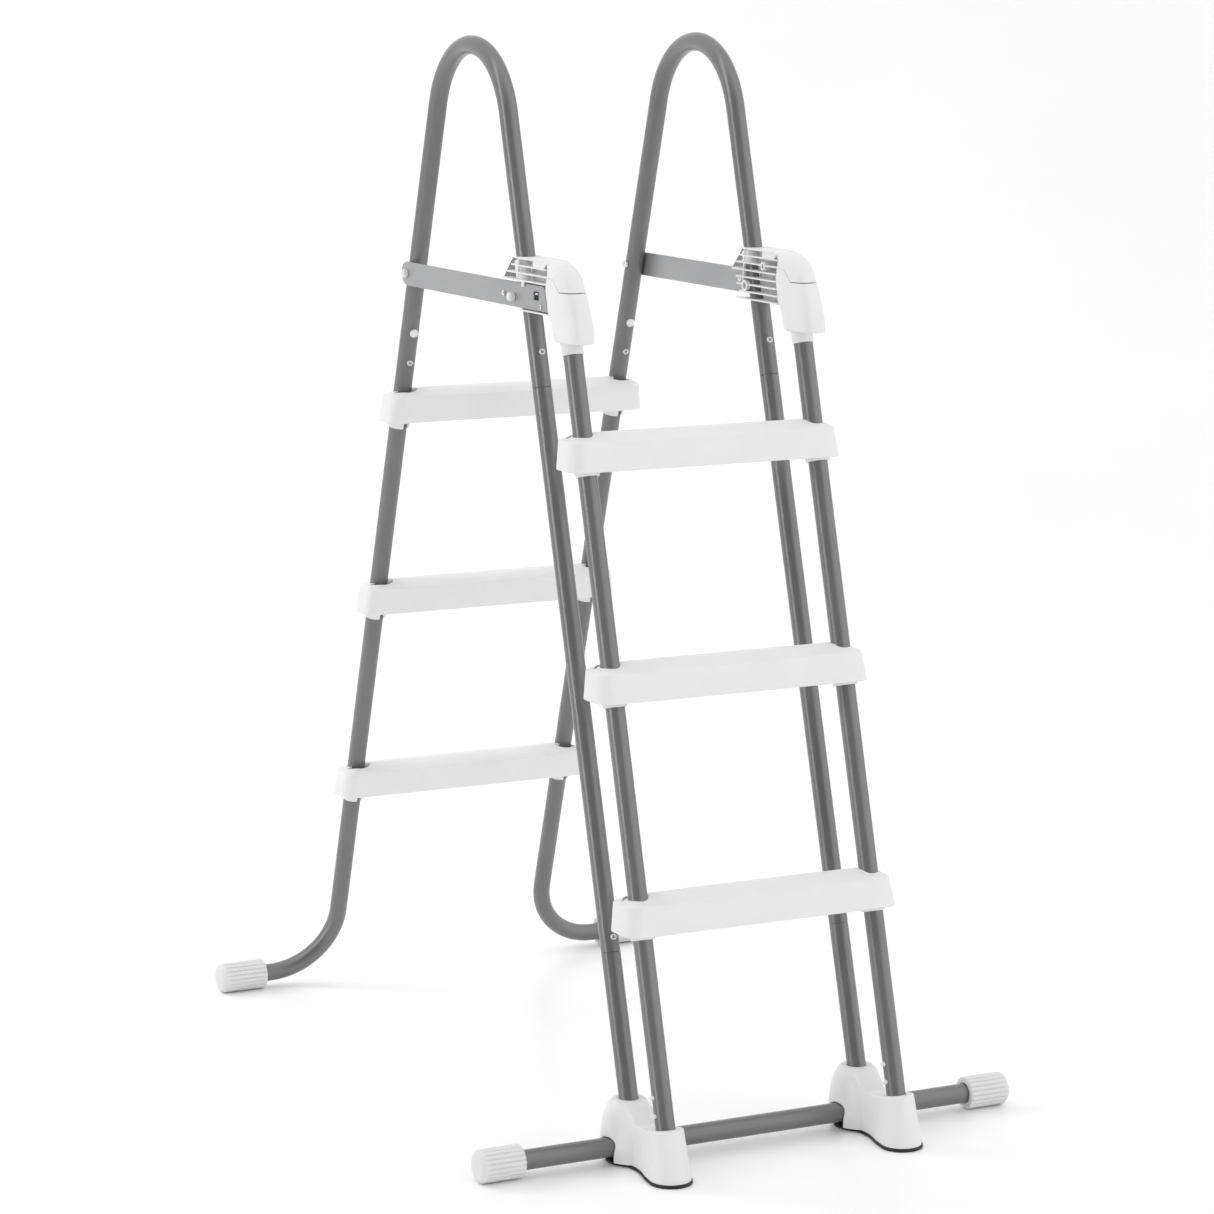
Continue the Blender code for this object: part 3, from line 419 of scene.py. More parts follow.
def legs(side, sign):
    x = sign * LEG_X
    path = straight(FRONT, x, LOW_JOINT_Z + JOINT_GAP, FRONT_JOINT_Z, (LOW_BUTTON_Z,))
    mid = make(f"outer_leg_mid_{side}", [tube_rings(path, spigot=True)], STEEL)
    combine(mid, hole(FRONT, x, FRONT_BUTTON_Z), hole(FRONT, x, LOW_BUTTON_Z))
    place(mid, "frame", f"front_leg_mid_{side}")
    path = straight(FRONT, x, LEG_BOTTOM_Z, LOW_JOINT_Z)
    low = make(f"outer_leg_low_{side}", [tube_rings(path, spigot=True)], STEEL)
    combine(low, hole(FRONT, x, LOW_BUTTON_Z))
    place(low, "frame", f"front_leg_low_{side}")
    path = straight(REAR, x, REAR_LOW_JOINT_Z + JOINT_GAP, REAR_JOINT_Z)
    rear = make(f"inner_leg_mid_{side}", [tube_rings(path, spigot=True)], STEEL)
    combine(rear, hole(REAR, x, REAR_BUTTON_Z))
    place(rear, "frame", f"rear_leg_mid_{side}")

    outward = X * sign
    foot_y = REAR.at(0, FLOOR_TUBE_Z).y
    foot = Vector((x + sign * FOOT_BEND_R, foot_y, FLOOR_TUBE_Z))
    arc = bend(foot + REAR.along * FOOT_BEND_R, -outward, REAR.along, FOOT_BEND_R, math.pi / 2, 28)
    start = Vector((sign * (REAR_CAP_OUT - 0.010), foot_y, FLOOR_TUBE_Z))
    path = [(start, -outward), *arc, (REAR.at(x, 0.24), REAR.along)]
    path.append((REAR.at(x, REAR_LOW_JOINT_Z), REAR.along))
    aside = REAR.along.cross(outward)
    obj = make(f"inner_leg_foot_{side}", [tube_rings(path, aside=aside, spigot=True)], STEEL)
    place(obj, "frame", f"rear_foot_leg_{side}")


def cross_tube():
    end = FRONT_CAP_OUT - 0.010
    path = [(Vector((s, CROSS_Y, CROSS_Z)), X) for s in np.linspace(-end, end, 15)]
    obj = make("floor_cross_tube", [tube_rings(path, CROSS_R, CROSS_R - 0.0013, aside=Y)], STEEL)
    place(obj, "frame", "base_cross_tube")


def lift_tube(side, sign):
    x = sign * LEG_X
    path = straight(LIFT, x, STEP_TUBE_BOTTOM_Z, STEP_TUBE_TOP_Z, PEG_ZS)
    tube = make(f"lift_tube_{side}", [tube_rings(path)], STEEL)
    pegs = [LIFT.at(x, z) for z in PEG_ZS]
    combine(tube, *(pierce(peg, -X, PEG_HOLE_R) for peg in pegs))
    place(tube, "removable_steps", f"step_tube_{side}")
    start = LIFT.at(x, STEP_TUBE_BOTTOM_Z + 0.001)
    length = (PEG_ZS[0] + 0.012 - STEP_TUBE_BOTTOM_Z) / LIFT.along.z
    profile = ((0, 0.0104), (0.0015, 0.0118), (length - 0.001, 0.0118), (length, 0.0110))
    plug = make(f"lift_tube_plug_{side}", [turned(start, LIFT.along, profile)], PLASTIC)
    profile = ((0.0060, 0.0034), (0.0150, 0.0034), (0.0166, 0.0032), (0.0177, 0.0026))
    profile += ((0.0183, 0.0018), (0.0185, 0.0008))
    combine(plug, ("UNION", [turned(peg, -X, profile, 32) for peg in pegs]))
    place(plug, "removable_steps", f"tube_end_plug_{side}")


# ------------------------------------------------------------------ end caps
def end_cap(name, node, axis_y, sign, x_in, x_out, tube_r):
    """Fluted cap: broad ridges parted by narrow grooves that run out before a soft-edged end face."""
    flutes, sides, groove = 20, 400, 0.0024
    a = np.arange(sides) * 2 * math.pi / sides
    cut = groove * np.exp(-((np.sin(flutes * a / 2) / 0.50) ** 2))
    base, along, length = Vector((0, axis_y, FLOOR_TUBE_Z)), X * sign, x_out - x_in
    edge = 0.0080
    body = length - edge
    profile = [(0.0, -0.0014, 0.9), (0.0005, -0.0005, 1.0), (0.0014, 0.0, 1.0)]
    profile += [(s, 0.0, 1.0) for s in np.linspace(0.005, body - 0.006, 9)]
    profile += [(body - 0.0035, 0.0, 0.92), (body - 0.0015, 0.0, 0.70)]
    profile += [(body + 0.0005, -0.0001, 0.35), (body + 0.0020, -0.0004, 0.10)]
    for t in np.linspace(0.30, 1.0, 10):
        angle = t * math.pi / 2
        profile.append((body + edge * math.sin(angle) - 0.0010, -0.0080 * (1 - math.cos(angle)), 0.0))
    out = [circle(base + along * (x_in + s), along, CAP_R + dr - cut * k, sides, Z) for s, dr, k in profile]
    for r, s in ((0.0120, -0.0005), (0.0080, -0.0002), (0.0030, 0.0)):
        out.append(circle(base + along * (x_out + s), along, r, sides, Z))
    bore = tube_r + FIT
    profile = ((length - 0.0092, bore), (0.0008, bore), (0.0, bore + 0.0008))
    inside = [circle(base + along * (x_in + s), along, r, sides, Z) for s, r in profile]
    place(make(name, [skin(inside + out)], CAP_PLASTIC, 30), "frame", node)


# ------------------------------------------------------------------ steps
STEP_BOTTOM_Z, STEP_SHOULDER_Z, STEP_CROWN_Z = 0.3245, 0.3635, 0.3746
STEP_TOP_HALF, STEP_BOTTOM_HALF, STEP_OUTER, STEP_INNER = 0.2065, 0.2115, 0.0240, 0.0400


def step_plan(half, outer, inner, r_out, r_in):
    """Rounded outline (x, v), v positive towards the user, with even stations along the long sides."""
    points, corner_points, long_steps, end_steps = [], 14, 36, 4
    corners = (
        (half - r_in, -inner + r_in, r_in, -90), (half - r_out, outer - r_out, r_out, 0),
        (-half + r_out, outer - r_out, r_out, 90), (-half + r_in, -inner + r_in, r_in, 180),
    )
    for k, (cx, cy, r, a0) in enumerate(corners):
        turn = np.radians(np.linspace(a0, a0 + 90, corner_points))
        arc = [(cx + r * math.cos(a), cy + r * math.sin(a)) for a in turn]
        nx, ny, nr, na = corners[(k + 1) % 4]
        na = math.radians(na)
        (px, py), (qx, qy) = arc[-1], (nx + nr * math.cos(na), ny + nr * math.sin(na))
        steps = long_steps if k in (1, 3) else end_steps
        points += arc
        points += [(px + (qx - px) * t / steps, py + (qy - py) * t / steps) for t in range(1, steps)]
    return np.array(points)


def step_rings(leg, out_sign, lift):
    """Outside of a tread: drafted skirt, soft shoulder, crowned top with a dip round each tube."""
    y_mid = leg.at(0, (STEP_BOTTOM_Z + STEP_SHOULDER_Z) / 2 + lift).y
    drift = math.copysign(0.003, leg.lean)

    def plan(half, grow, inset, shift, z):
        r_out, r_in = max(0.0225 - 0.80 * inset, 0.0012), max(0.0180 - 0.62 * inset, 0.0012)
        outer, inner = STEP_OUTER + grow - inset, STEP_INNER + grow - inset
        flat = step_plan(half - inset, outer, inner, r_out, r_in)
        ys = y_mid + shift + out_sign * flat[:, 1]
        return np.column_stack([flat[:, 0], ys, np.full(len(flat), z + lift)])

    rings = []
    for t in np.linspace(0, math.pi / 2, 5):
        inset, rise = 0.0012 * (1 - math.sin(t)), 0.0012 * (1 - math.cos(t))
        rings.append(plan(STEP_BOTTOM_HALF, 0.002, inset, -drift, STEP_BOTTOM_Z + rise))
    for t in np.linspace(0.08, 0.94, 7):
        half = STEP_BOTTOM_HALF + (STEP_TOP_HALF - STEP_BOTTOM_HALF) * t
        z = STEP_BOTTOM_Z + (STEP_SHOULDER_Z - STEP_BOTTOM_Z) * t
        rings.append(plan(half, 0.002 * (1 - t), 0, drift * (2 * t - 1), z))
    bend_angle = math.radians(66)
    for t in np.linspace(0, bend_angle, 8):
        inset = 0.0026 * (1 - math.cos(t)) / (1 - math.cos(bend_angle))
        z = STEP_SHOULDER_Z - 0.0014 + 0.0030 * math.sin(t) / math.sin(bend_angle)
        rings.append(plan(STEP_TOP_HALF, 0, inset, drift, z))
    edge_z = STEP_SHOULDER_Z + 0.0016
    for t in np.linspace(0.06, 1, 18):
        z = edge_z + (STEP_CROWN_Z - edge_z) * (1 - (1 - t) ** 1.9)
        ring = plan(STEP_TOP_HALF, 0, 0.0026 + 0.0255 * t, drift, z)
        reach = np.abs(np.abs(ring[:, 0]) - LEG_X + 0.020) / 0.060
        dip = 0.0016 * np.clip(1 - reach**2, 0, 1) * math.sin(math.pi * min(1, t * 1.15)) ** 0.8
        ring[:, 2] -= dip
        rings.append(ring)
    return rings, plan, drift


def step_piece(name, node, body, leg, out_sign, index):
    lift = STEP_RISE * index
    rings, plan, drift = step_rings(leg, out_sign, lift)
    obj = make(name, [skin(rings)], TREAD, 50)
    sleeves, rims, bores, wells, notches = [], [], [], [], []
    for sign in (-1, 1):
        x = sign * LEG_X
        low, rim = leg.at(x, 0.3165 + lift), leg.at(x, 0.3716 + lift)
        tall = (rim - low).length
        profile = ((0, 0.0160), (0.0006, 0.0167), (0.0012, 0.0169), (tall - 0.0120, 0.0190))
        sleeves.append(turned(low, leg.along, profile, 72))
        profile = ((tall - 0.0200, 0.0226), (tall - 0.0014, 0.0232), (tall - 0.0005, 0.0229), (tall, 0.0222))
        rims.append(half_turned(low, leg.along, profile, -out_sign))
        bores.append(rod(low - leg.along * 0.02, rim + leg.along * 0.02, TUBE_R + FIT, 48))
        profile = ((-0.014, 0.0202), (-0.0010, 0.0207), (0.0002, 0.0214), (0.02, 0.0214))
        wells.append(half_turned(rim, leg.along, profile, -out_sign))
        y = low.y - 0.0180
        notches.append(block(x + 0.0010, x + 0.0085, y - 0.012, y + 0.012, 0.3100 + lift, 0.3196 + lift))
    cells = []
    for edges in ((-0.150, -0.078), (-0.075, -0.0015), (0.0015, 0.075), (0.078, 0.150)):
        floor = plan(0.2, 0.002, 0.003, -drift, STEP_BOTTOM_Z - 0.006)
        roof = plan(0.2, 0, 0.004, drift, STEP_SHOULDER_Z - 0.004)
        y0, y1 = floor[:, 1].min(), floor[:, 1].max()
        r0, r1 = roof[:, 1].min(), roof[:, 1].max()
        top = STEP_CROWN_Z + lift - 0.0045
        section = [(y0, floor[0, 2]), (y1, floor[0, 2]), (r1, roof[0, 2])]
        section += [(r1 - 0.012, top), (r0 + 0.012, top), (r0, roof[0, 2])]
        cells.append(prism_x(*edges, section))
    cuts = [("DIFFERENCE", parts) for parts in (cells, notches, wells, bores)]
    combine(obj, ("UNION", sleeves), ("UNION", rims), *cuts, sharp=38)
    place(obj, body, node)


# ------------------------------------------------------------------ base shoes
SHOE_BOTTOM_Z, SHOE_TOP_Z, ARCH_R = 0.0048, 0.0848, 0.0155
NOSE_R, NOSE_Y = 0.0287, -0.5828
NOSE_TOP_R, NOSE_TOP_Y, NOSE_TOP_Z, NOSE_SLOPE = 0.0243, -0.5676, 0.0700, 0.17
# (height, heel radius, depth of the hollow either side of the web, how far the web reaches forward)
HEEL_LEVELS = (
    (0.0048, 0.0428, 0.0020, 0.045), (0.0200, 0.0440, 0.0040, 0.050), (0.0340, 0.0443, 0.0085, 0.055),
    (0.0475, 0.0428, 0.0115, 0.056), (0.0560, 0.0405, 0.0100, 0.053), (0.0640, 0.0374, 0.0072, 0.046),
    (0.0720, 0.0332, 0.0036, 0.036), (0.0780, 0.0292, 0.0014, 0.030),
    (0.0825, 0.0254, 0.0002, 0.0256), (0.0848, 0.0226, 0.0, 0.0226),
)


def nose_outline(z, grow=0.0):
    """Nose circle running back into the web, as (x, y) round the +X side and then the -X side."""
    t = (z - SHOE_BOTTOM_Z) / (NOSE_TOP_Z - SHOE_BOTTOM_Z)
    radius, centre = NOSE_R + (NOSE_TOP_R - NOSE_R) * t + grow, NOSE_Y + (NOSE_TOP_Y - NOSE_Y) * t
    turn = np.radians(np.linspace(0, 98, 26))
    side = [(radius * math.sin(a), centre - radius * math.cos(a)) for a in turn]
    slim = 1 - 0.12 * t
    web = (
        (0.0252, -0.5560), (0.0212, -0.5400), (0.0190, -0.5240),
        (0.0196, -0.5080), (0.0220, -0.4920), (0.0220, -0.4650),
    )
    start = side[-1]
    rows = [(0.0, *start)]
    rows += [(k + 1.0, w * slim + grow, y + 0.006 * t) for k, (w, y) in enumerate(web)]
    side += [tuple(row) for row in catmull(rows, np.linspace(0, len(web), 30))[1][1:]]
    return side + [(-w, y) for w, y in side[:0:-1]]


def heel_outline(z, grow=0.0):
    """Heel round the leg, hollowed either side of a web that reaches forward."""
    radius, hollow, reach = catmull(HEEL_LEVELS, [z])[1][0]
    centre = max(-0.4690, FRONT.at(0, z).y)
    sides = 144
    a = np.arange(sides) * 2 * math.pi / sides
    front = np.abs(np.angle(np.exp(1j * (a - math.pi))))
    round_part = radius - hollow * np.exp(-(((front - math.radians(60)) / math.radians(27)) ** 2))
    round_part = round_part - 0.5 * hollow * np.exp(-((front / 0.6) ** 2))
    web = np.minimum(reach, 0.0165 / np.maximum(np.sin(front), 1e-3))
    web = np.where(front < math.pi / 2, web, 0)
    blend = 0.0030
    if reach > radius + 0.001:
        r = blend * np.logaddexp(round_part / blend, web / blend)
    else:
        r = np.maximum(round_part, 0)
    r = np.minimum(r, np.maximum(reach, radius)) + grow
    return [(ri * math.sin(ai), centre + ri * math.cos(ai)) for ri, ai in zip(r, a)]


def shoe(side, sign):
    x = sign * LEG_X
    nose_rings = []
    for t in np.linspace(0, 1, 16):
        ring = []
        for px, py in nose_outline(SHOE_BOTTOM_Z + t * (NOSE_TOP_Z - SHOE_BOTTOM_Z)):
            top = NOSE_TOP_Z + NOSE_SLOPE * (NOSE_TOP_Y - py)
            ring.append((x + px, py, SHOE_BOTTOM_Z - 0.002 + t * (top - SHOE_BOTTOM_Z + 0.002)))
        nose_rings.append(ring)
    edge_zs = [0.0815, 0.0828, 0.0838, 0.0844, SHOE_TOP_Z]
    zs = np.concatenate([[SHOE_BOTTOM_Z - 0.002], np.linspace(SHOE_BOTTOM_Z, 0.0800, 26), edge_zs])
    heel_rings = [[(x + px, py, z) for px, py in heel_outline(max(z, SHOE_BOTTOM_Z))] for z in zs]
    obj = make(f"floor_shoe_{side}", [skin(nose_rings)], PLASTIC, 180)
    combine(obj, ("UNION", [skin(heel_rings)]))
    modify(obj, "REMESH", mode="VOXEL", voxel_size=0.0010)
    modify(obj, "SMOOTH", factor=0.5, iterations=12)
    apply_all(obj, 180)
    bore = FRONT.at(x, LEG_BOTTOM_Z - 0.0005)
    socket = LIFT.at(x, STEP_TUBE_BOTTOM_Z - 0.0010)
    turn = [math.radians(a) for a in range(0, 181, 6)]
    arch = [(CROSS_Y + ARCH_R * math.cos(a), CROSS_Z + ARCH_R * math.sin(a)) for a in turn]
    arch = [(CROSS_Y + ARCH_R, -0.01), *arch, (CROSS_Y - ARCH_R, -0.01)]
    combine(
        obj, ("DIFFERENCE", [block(x - 0.1, x + 0.1, -0.70, -0.35, -0.02, SHOE_BOTTOM_Z)]),
        ("DIFFERENCE", [rod(bore, bore + FRONT.along * 0.07, TUBE_R + 0.0005, 48)]),
        ("DIFFERENCE", [rod(socket, socket + LIFT.along * 0.07, TUBE_R + 0.0006, 48)]),
        ("DIFFERENCE", [prism_x(x - 0.06, x + 0.06, arch)]), sharp=32,
    )
    place(obj, "frame", f"base_foot_{side}")

    def slab(outline, grow):
        levels = ((0.0, grow - 0.0008), (0.0007, grow), (0.0038, grow), (0.0045, grow - 0.0007))
        return skin([[(x + px, py, z) for px, py in outline(SHOE_BOTTOM_Z, g)] for z, g in levels])

    pad = make(f"floor_pad_{side}", [slab(nose_outline, 0.0012)], RUBBER)
    tread_ys = np.arange(-0.600, -0.440, 0.0085)
    treads = [block(x - 0.05, x + 0.05, y, y + 0.0030, -0.01, 0.0012) for y in tread_ys]
    combine(pad, ("UNION", [slab(heel_outline, -0.0060)]), ("DIFFERENCE", treads))
    place(pad, "frame", f"rubber_pad_{side}")


# ------------------------------------------------------------------ bracket, hood, sleeve
# Sections of the head going up: height, front and back edge, half-width, squareness of the front.
HEAD = (
    (1.1050, -0.3245, -0.2700, 0.0172, 3.2), (1.1056, -0.3268, -0.2690, 0.0183, 3.4),
    (1.1072, -0.3286, -0.2680, 0.0189, 3.6), (1.1110, -0.3296, -0.2662, 0.0191, 3.8),
    (1.1180, -0.3292, -0.2632, 0.0191, 3.8), (1.1330, -0.3252, -0.2566, 0.0191, 3.7),
    (1.1420, -0.3220, -0.2492, 0.0191, 3.6), (1.1560, -0.3158, -0.2460, 0.0191, 3.4),
    (1.1740, -0.3068, -0.2412, 0.0191, 3.1), (1.1850, -0.3004, -0.2430, 0.0190, 2.8),
    (1.1940, -0.2936, -0.2450, 0.0185, 2.6), (1.2010, -0.2862, -0.2440, 0.0176, 2.3),
    (1.2060, -0.2782, -0.2400, 0.0163, 2.1), (1.2095, -0.2702, -0.2330, 0.0146, 2.0),
    (1.2115, -0.2622, -0.2260, 0.0126, 2.0), (1.2125, -0.2550, -0.2200, 0.0104, 2.0),
    (1.2127, -0.2500, -0.2160, 0.0086, 2.0),
)
# Parting line of hood and sleeve: y, z and half its width, which closes up towards the back.
PARTING = (
    (-0.36, 1.1737, 0.0006), (-0.2838, 1.1737, 0.0006), (-0.2668, 1.1882, 0.0006),
    (-0.2630, 1.1905, 0.00015), (-0.19, 1.1905, 0.00010),
)
RIB_TOP_Z, RIB_PITCH, RIB_THICK, RIB_HALF, RIB_ROOT_Y = 1.2127, 0.01024, 0.0020, 0.0190, -0.2560
TOP_RIB_FRONTS = (-0.2320, -0.2440, -0.2480)
# Back edge of each rib on its outer and its inner side, from the top.
RIB_BACKS = (
    (-0.1470, -0.1390), (-0.1320, -0.1310), (-0.1150, -0.1230), (-0.0984, -0.1104),
    (-0.1180, -0.1235), (-0.1200, -0.1253), (-0.1320, -0.1330), (-0.1600, -0.1246),
)


def head_skin(x):
    """Skin of the head, hood and sleeve together: a squared nose with a flat back."""
    z, rows = catmull(HEAD, 64)
    rings = []
    for height, (front, back, half, power) in zip(z, rows):
        depth = (back - front) * 0.62
        a = np.linspace(0, math.pi, 49)
        px = half * np.sign(np.cos(a)) * np.abs(np.cos(a)) ** (2 / power)
        py = (front + depth) - depth * np.abs(np.sin(a)) ** (2 / power)
        r = 0.0016
        corners = [(-half, back - r), (-half + r * 0.3, back - r * 0.3), (-half + r, back)]
        corners += [(-u, v) for u, v in corners[::-1]]
        rings.append([(x + u, v, height) for u, v in list(zip(px, py)) + corners])
    return skin(rings)


def beyond_parting(x, above):
    """Everything above, or below, the parting line of hood and sleeve."""
    far, way = (1.30, -1) if above else (1.05, 1)
    outline = [(y, z + way * half) for y, z, half in PARTING] + [(-0.19, far), (-0.36, far)]
    return [prism_x(x - 0.05, x + 0.05, outline)]


def bracket(side, sign):
    x = sign * LEG_X

    def slab(a, b, y0, y1, z0, z1):
        x0, x1 = sorted((x + sign * a, x + sign * b))
        return block(x0, x1, y0, y1, z0, z1)

    def plate(points, z0, z1):
        return skin([[(x + sign * a, y, z) for a, y in points] for z in (z0, z1)])

    def wall(a, b, outline):
        return prism_x(x + sign * a, x + sign * b, outline)

    def barrel(a, b, y, z, r):
        return rod(Vector((x + sign * a, y, z)), Vector((x + sign * b, y, z)), r, 40)

    def stay(a, b, y0, z0, y1):
        """A thin leaning wall that runs from (y0, z0) up to y1 under the top rib."""
        outline = [(y0, z0), (y0 + 0.0026, z0), (y1 + 0.0026, 1.2110), (y1, 1.2110)]
        return wall(a, b, outline)

    def back_edge(z):
        return float(np.interp(z, [row[0] for row in HEAD], [row[2] for row in HEAD]))

    low_z = RIB_TOP_Z - 7 * RIB_PITCH
    low, top = FRONT.at(x, low_z + 0.0034), FRONT.at(x, RIB_TOP_Z - 0.0050)
    obj = make(f"rail_bracket_{side}", [rod(low, top, 0.0168, 72)], PLASTIC)
    open_side = FRONT.at(x, RIB_TOP_Z - 2 * RIB_PITCH)
    opening = [(-0.22, 1.10), (-0.08, 1.10), (-0.08, open_side.z), (-0.22, open_side.z)]
    combine(obj, ("DIFFERENCE", [wall(-0.03, -0.0035, opening)]))
    c = 0.0012
    for k, (outer, inner) in enumerate(RIB_BACKS):
        z = RIB_TOP_Z - k * RIB_PITCH
        front = TOP_RIB_FRONTS[k] if k < len(TOP_RIB_FRONTS) else back_edge(z) + 0.0012
        points = (
            (-RIB_HALF, front), (-RIB_HALF, inner - c), (-RIB_HALF + c, inner),
            (RIB_HALF - c, outer), (RIB_HALF, outer - c), (RIB_HALF, front),
        )
        combine(obj, ("UNION", [plate(points, z - RIB_THICK, z)]))
    spine_z0, spine_z1 = low_z - 0.0010, RIB_TOP_Z - 0.0010
    spine = [(back_edge(low_z) + 0.0014, spine_z0), (-0.1550, spine_z0), (-0.1550, spine_z1)]
    spine += [(RIB_ROOT_Y, spine_z1), (RIB_ROOT_Y, 1.1910), (-0.2415, 1.1890), (-0.2400, 1.1760)]
    combine(obj, ("UNION", [wall(-0.0015, 0.0015, spine)]))
    nose = [(math.cos(a), math.sin(a)) for a in np.linspace(0, math.pi, 25)]
    levels = (
        (1.2019, 0.0183, -0.2400, 0.0150), (1.2088, 0.0183, -0.2370, 0.0140),
        (1.2116, 0.0177, -0.2350, 0.0130), (1.2123, 0.0166, -0.2340, 0.0118),
    )
    roof = []
    for z, w, y, d in levels:
        ring = [(x + w * c, y - d * t, z) for c, t in nose]
        roof.append(ring + [(x - w, -0.2010, z), (x + w, -0.2010, z)])
    combine(obj, ("UNION", [skin(roof)]))
    stays = [
        stay(0.0010, 0.0178, -0.1500, 1.1790, -0.1556), stay(-0.0178, -0.0010, -0.1440, 1.1500, -0.1482),
        stay(0.0010, 0.0068, -0.1790, 1.1402, -0.1726),
    ]
    combine(obj, ("UNION", stays))
    bosses = [
        barrel(-0.0200, -0.0010, *BOSS_HIGH_AT, 0.0060), barrel(-0.0200, -0.0030, *BOSS_LOW_AT, 0.0078),
        barrel(-0.0196, -0.0140, *BOSS_SMALL_AT, 0.0046), barrel(0.001, 0.0132, *SCREW_AT, 0.0050),
    ]
    gap = [(-0.2505, 1.2022), (-0.2350, 1.2022), (-0.2416, 1.2092)]
    gaps = [wall(at, at + math.copysign(0.012, at), gap) for at in (-0.0105, 0.0105)]
    tongue = slab(0.0112, 0.0154, -0.2100, -0.2030, 1.1645, 1.1668)
    tab = slab(0.0168, 0.0187, -0.1722, -0.1652, 1.1732, 1.1812)
    combine(obj, ("UNION", bosses))
    combine(
        obj, ("DIFFERENCE", [slab(0.0134, 0.0300, -0.2480, -0.09, BAR_Z0 - 0.0006, BAR_Z1 + 0.0006)]),
        ("DIFFERENCE", gaps), ("UNION", [tongue, tab]),
        ("DIFFERENCE", [rod(low - FRONT.along * 0.02, top + FRONT.along * 0.02, TUBE_R + FIT, 48)]),
    )
    hood = make("hood_part", [head_skin(x)], PLASTIC)
    combine(hood, ("DIFFERENCE", beyond_parting(x, False)))
    # Ribs and hood share faces here, so the join also resolves where the ribs cross one another.
    modify(obj, "BOOLEAN", operation="UNION", solver="EXACT", object=hood, use_self=True)
    apply_all(obj)
    bpy.data.objects.remove(hood, do_unlink=True)
    holes = [
        barrel(-0.03, -0.0110, *BOSS_HIGH_AT, 0.0036), barrel(-0.03, -0.0120, *BOSS_LOW_AT, 0.0050),
        barrel(-0.03, -0.0160, *BOSS_SMALL_AT, 0.0022), barrel(0.006, 0.03, *SCREW_AT, 0.0021),
    ]
    combine(
        obj, ("DIFFERENCE", [rod(LIFT.at(x, 1.15), LIFT.at(x, 1.1950), TUBE_R + 0.0008, 48)]),
        ("DIFFERENCE", holes), sharp=32,
    )
    place(obj, "frame", f"top_bracket_{side}")

    sleeve = make(f"lift_sleeve_{side}", [head_skin(x)], PLASTIC)
    bore = rod(LIFT.at(x, 1.09), LIFT.at(x, 1.21), 0.0160, 48)
    combine(sleeve, ("DIFFERENCE", beyond_parting(x, True)), ("DIFFERENCE", [bore]), sharp=32)
    place(sleeve, "frame", f"step_sleeve_{side}")
    start, end = LIFT.at(x, 1.0880), LIFT.at(x, 1.1300)
    tall, bore = (end - start).length, TUBE_R + FIT
    out = [(0, 0.0146), (0.0005, 0.0149), (0.0150, 0.01535), (0.0158, 0.0156), (tall, 0.0156)]
    rings = [circle(start + LIFT.along * s, LIFT.along, r, 48) for s, r in out]
    rings += [circle(p, LIFT.along, bore, 48) for p in (end, start)]
    place(make(f"lift_collar_{side}", [skin(rings, loop=True)], PLASTIC), "frame", f"guide_collar_{side}")

    # Grey steel sheet in the gaps between the ribs: painted shade, a dark sheet standing in for the shadow
    # there.
    outline = [(-0.1450, 1.1790), (-0.0760, 1.1790), (-0.1060, 1.2083), (-0.1330, 1.2083)]
    place(make(f"bracket_rib_shade_sheet_{side}", [wall(0.0019, 0.0035, outline)], STEEL), "frame")
    # Black plate just inside the latch slot of the bar: painted shade, standing in for the dark inside of the
    # slot.
    slot_shade_plate = slab(0.0100, 0.0137, -0.2170, -0.1980, 1.1560, 1.1700)
    place(make(f"latch_slot_shade_plate_{side}", [slot_shade_plate], RUBBER), "frame")


# ------------------------------------------------------------------ bars and small fixings
# Outline of a cross recess: two slots, each 1 mm wide and 4.4 mm long.
CROSS = [(u * 0.0022 + w * 0.0005, v * 0.0022 + t * 0.0005) for u, v, w, t in (
    (1, 0, 0, -1), (1, 0, 0, 1), (0, 0, 1, 1), (0, 1, 1, 0), (0, 1, -1, 0), (0, 0, -1, 1),
    (-1, 0, 0, 1), (-1, 0, 0, -1), (0, 0, -1, -1), (0, -1, -1, 0), (0, -1, 1, 0), (0, 0, 1, -1),
)]


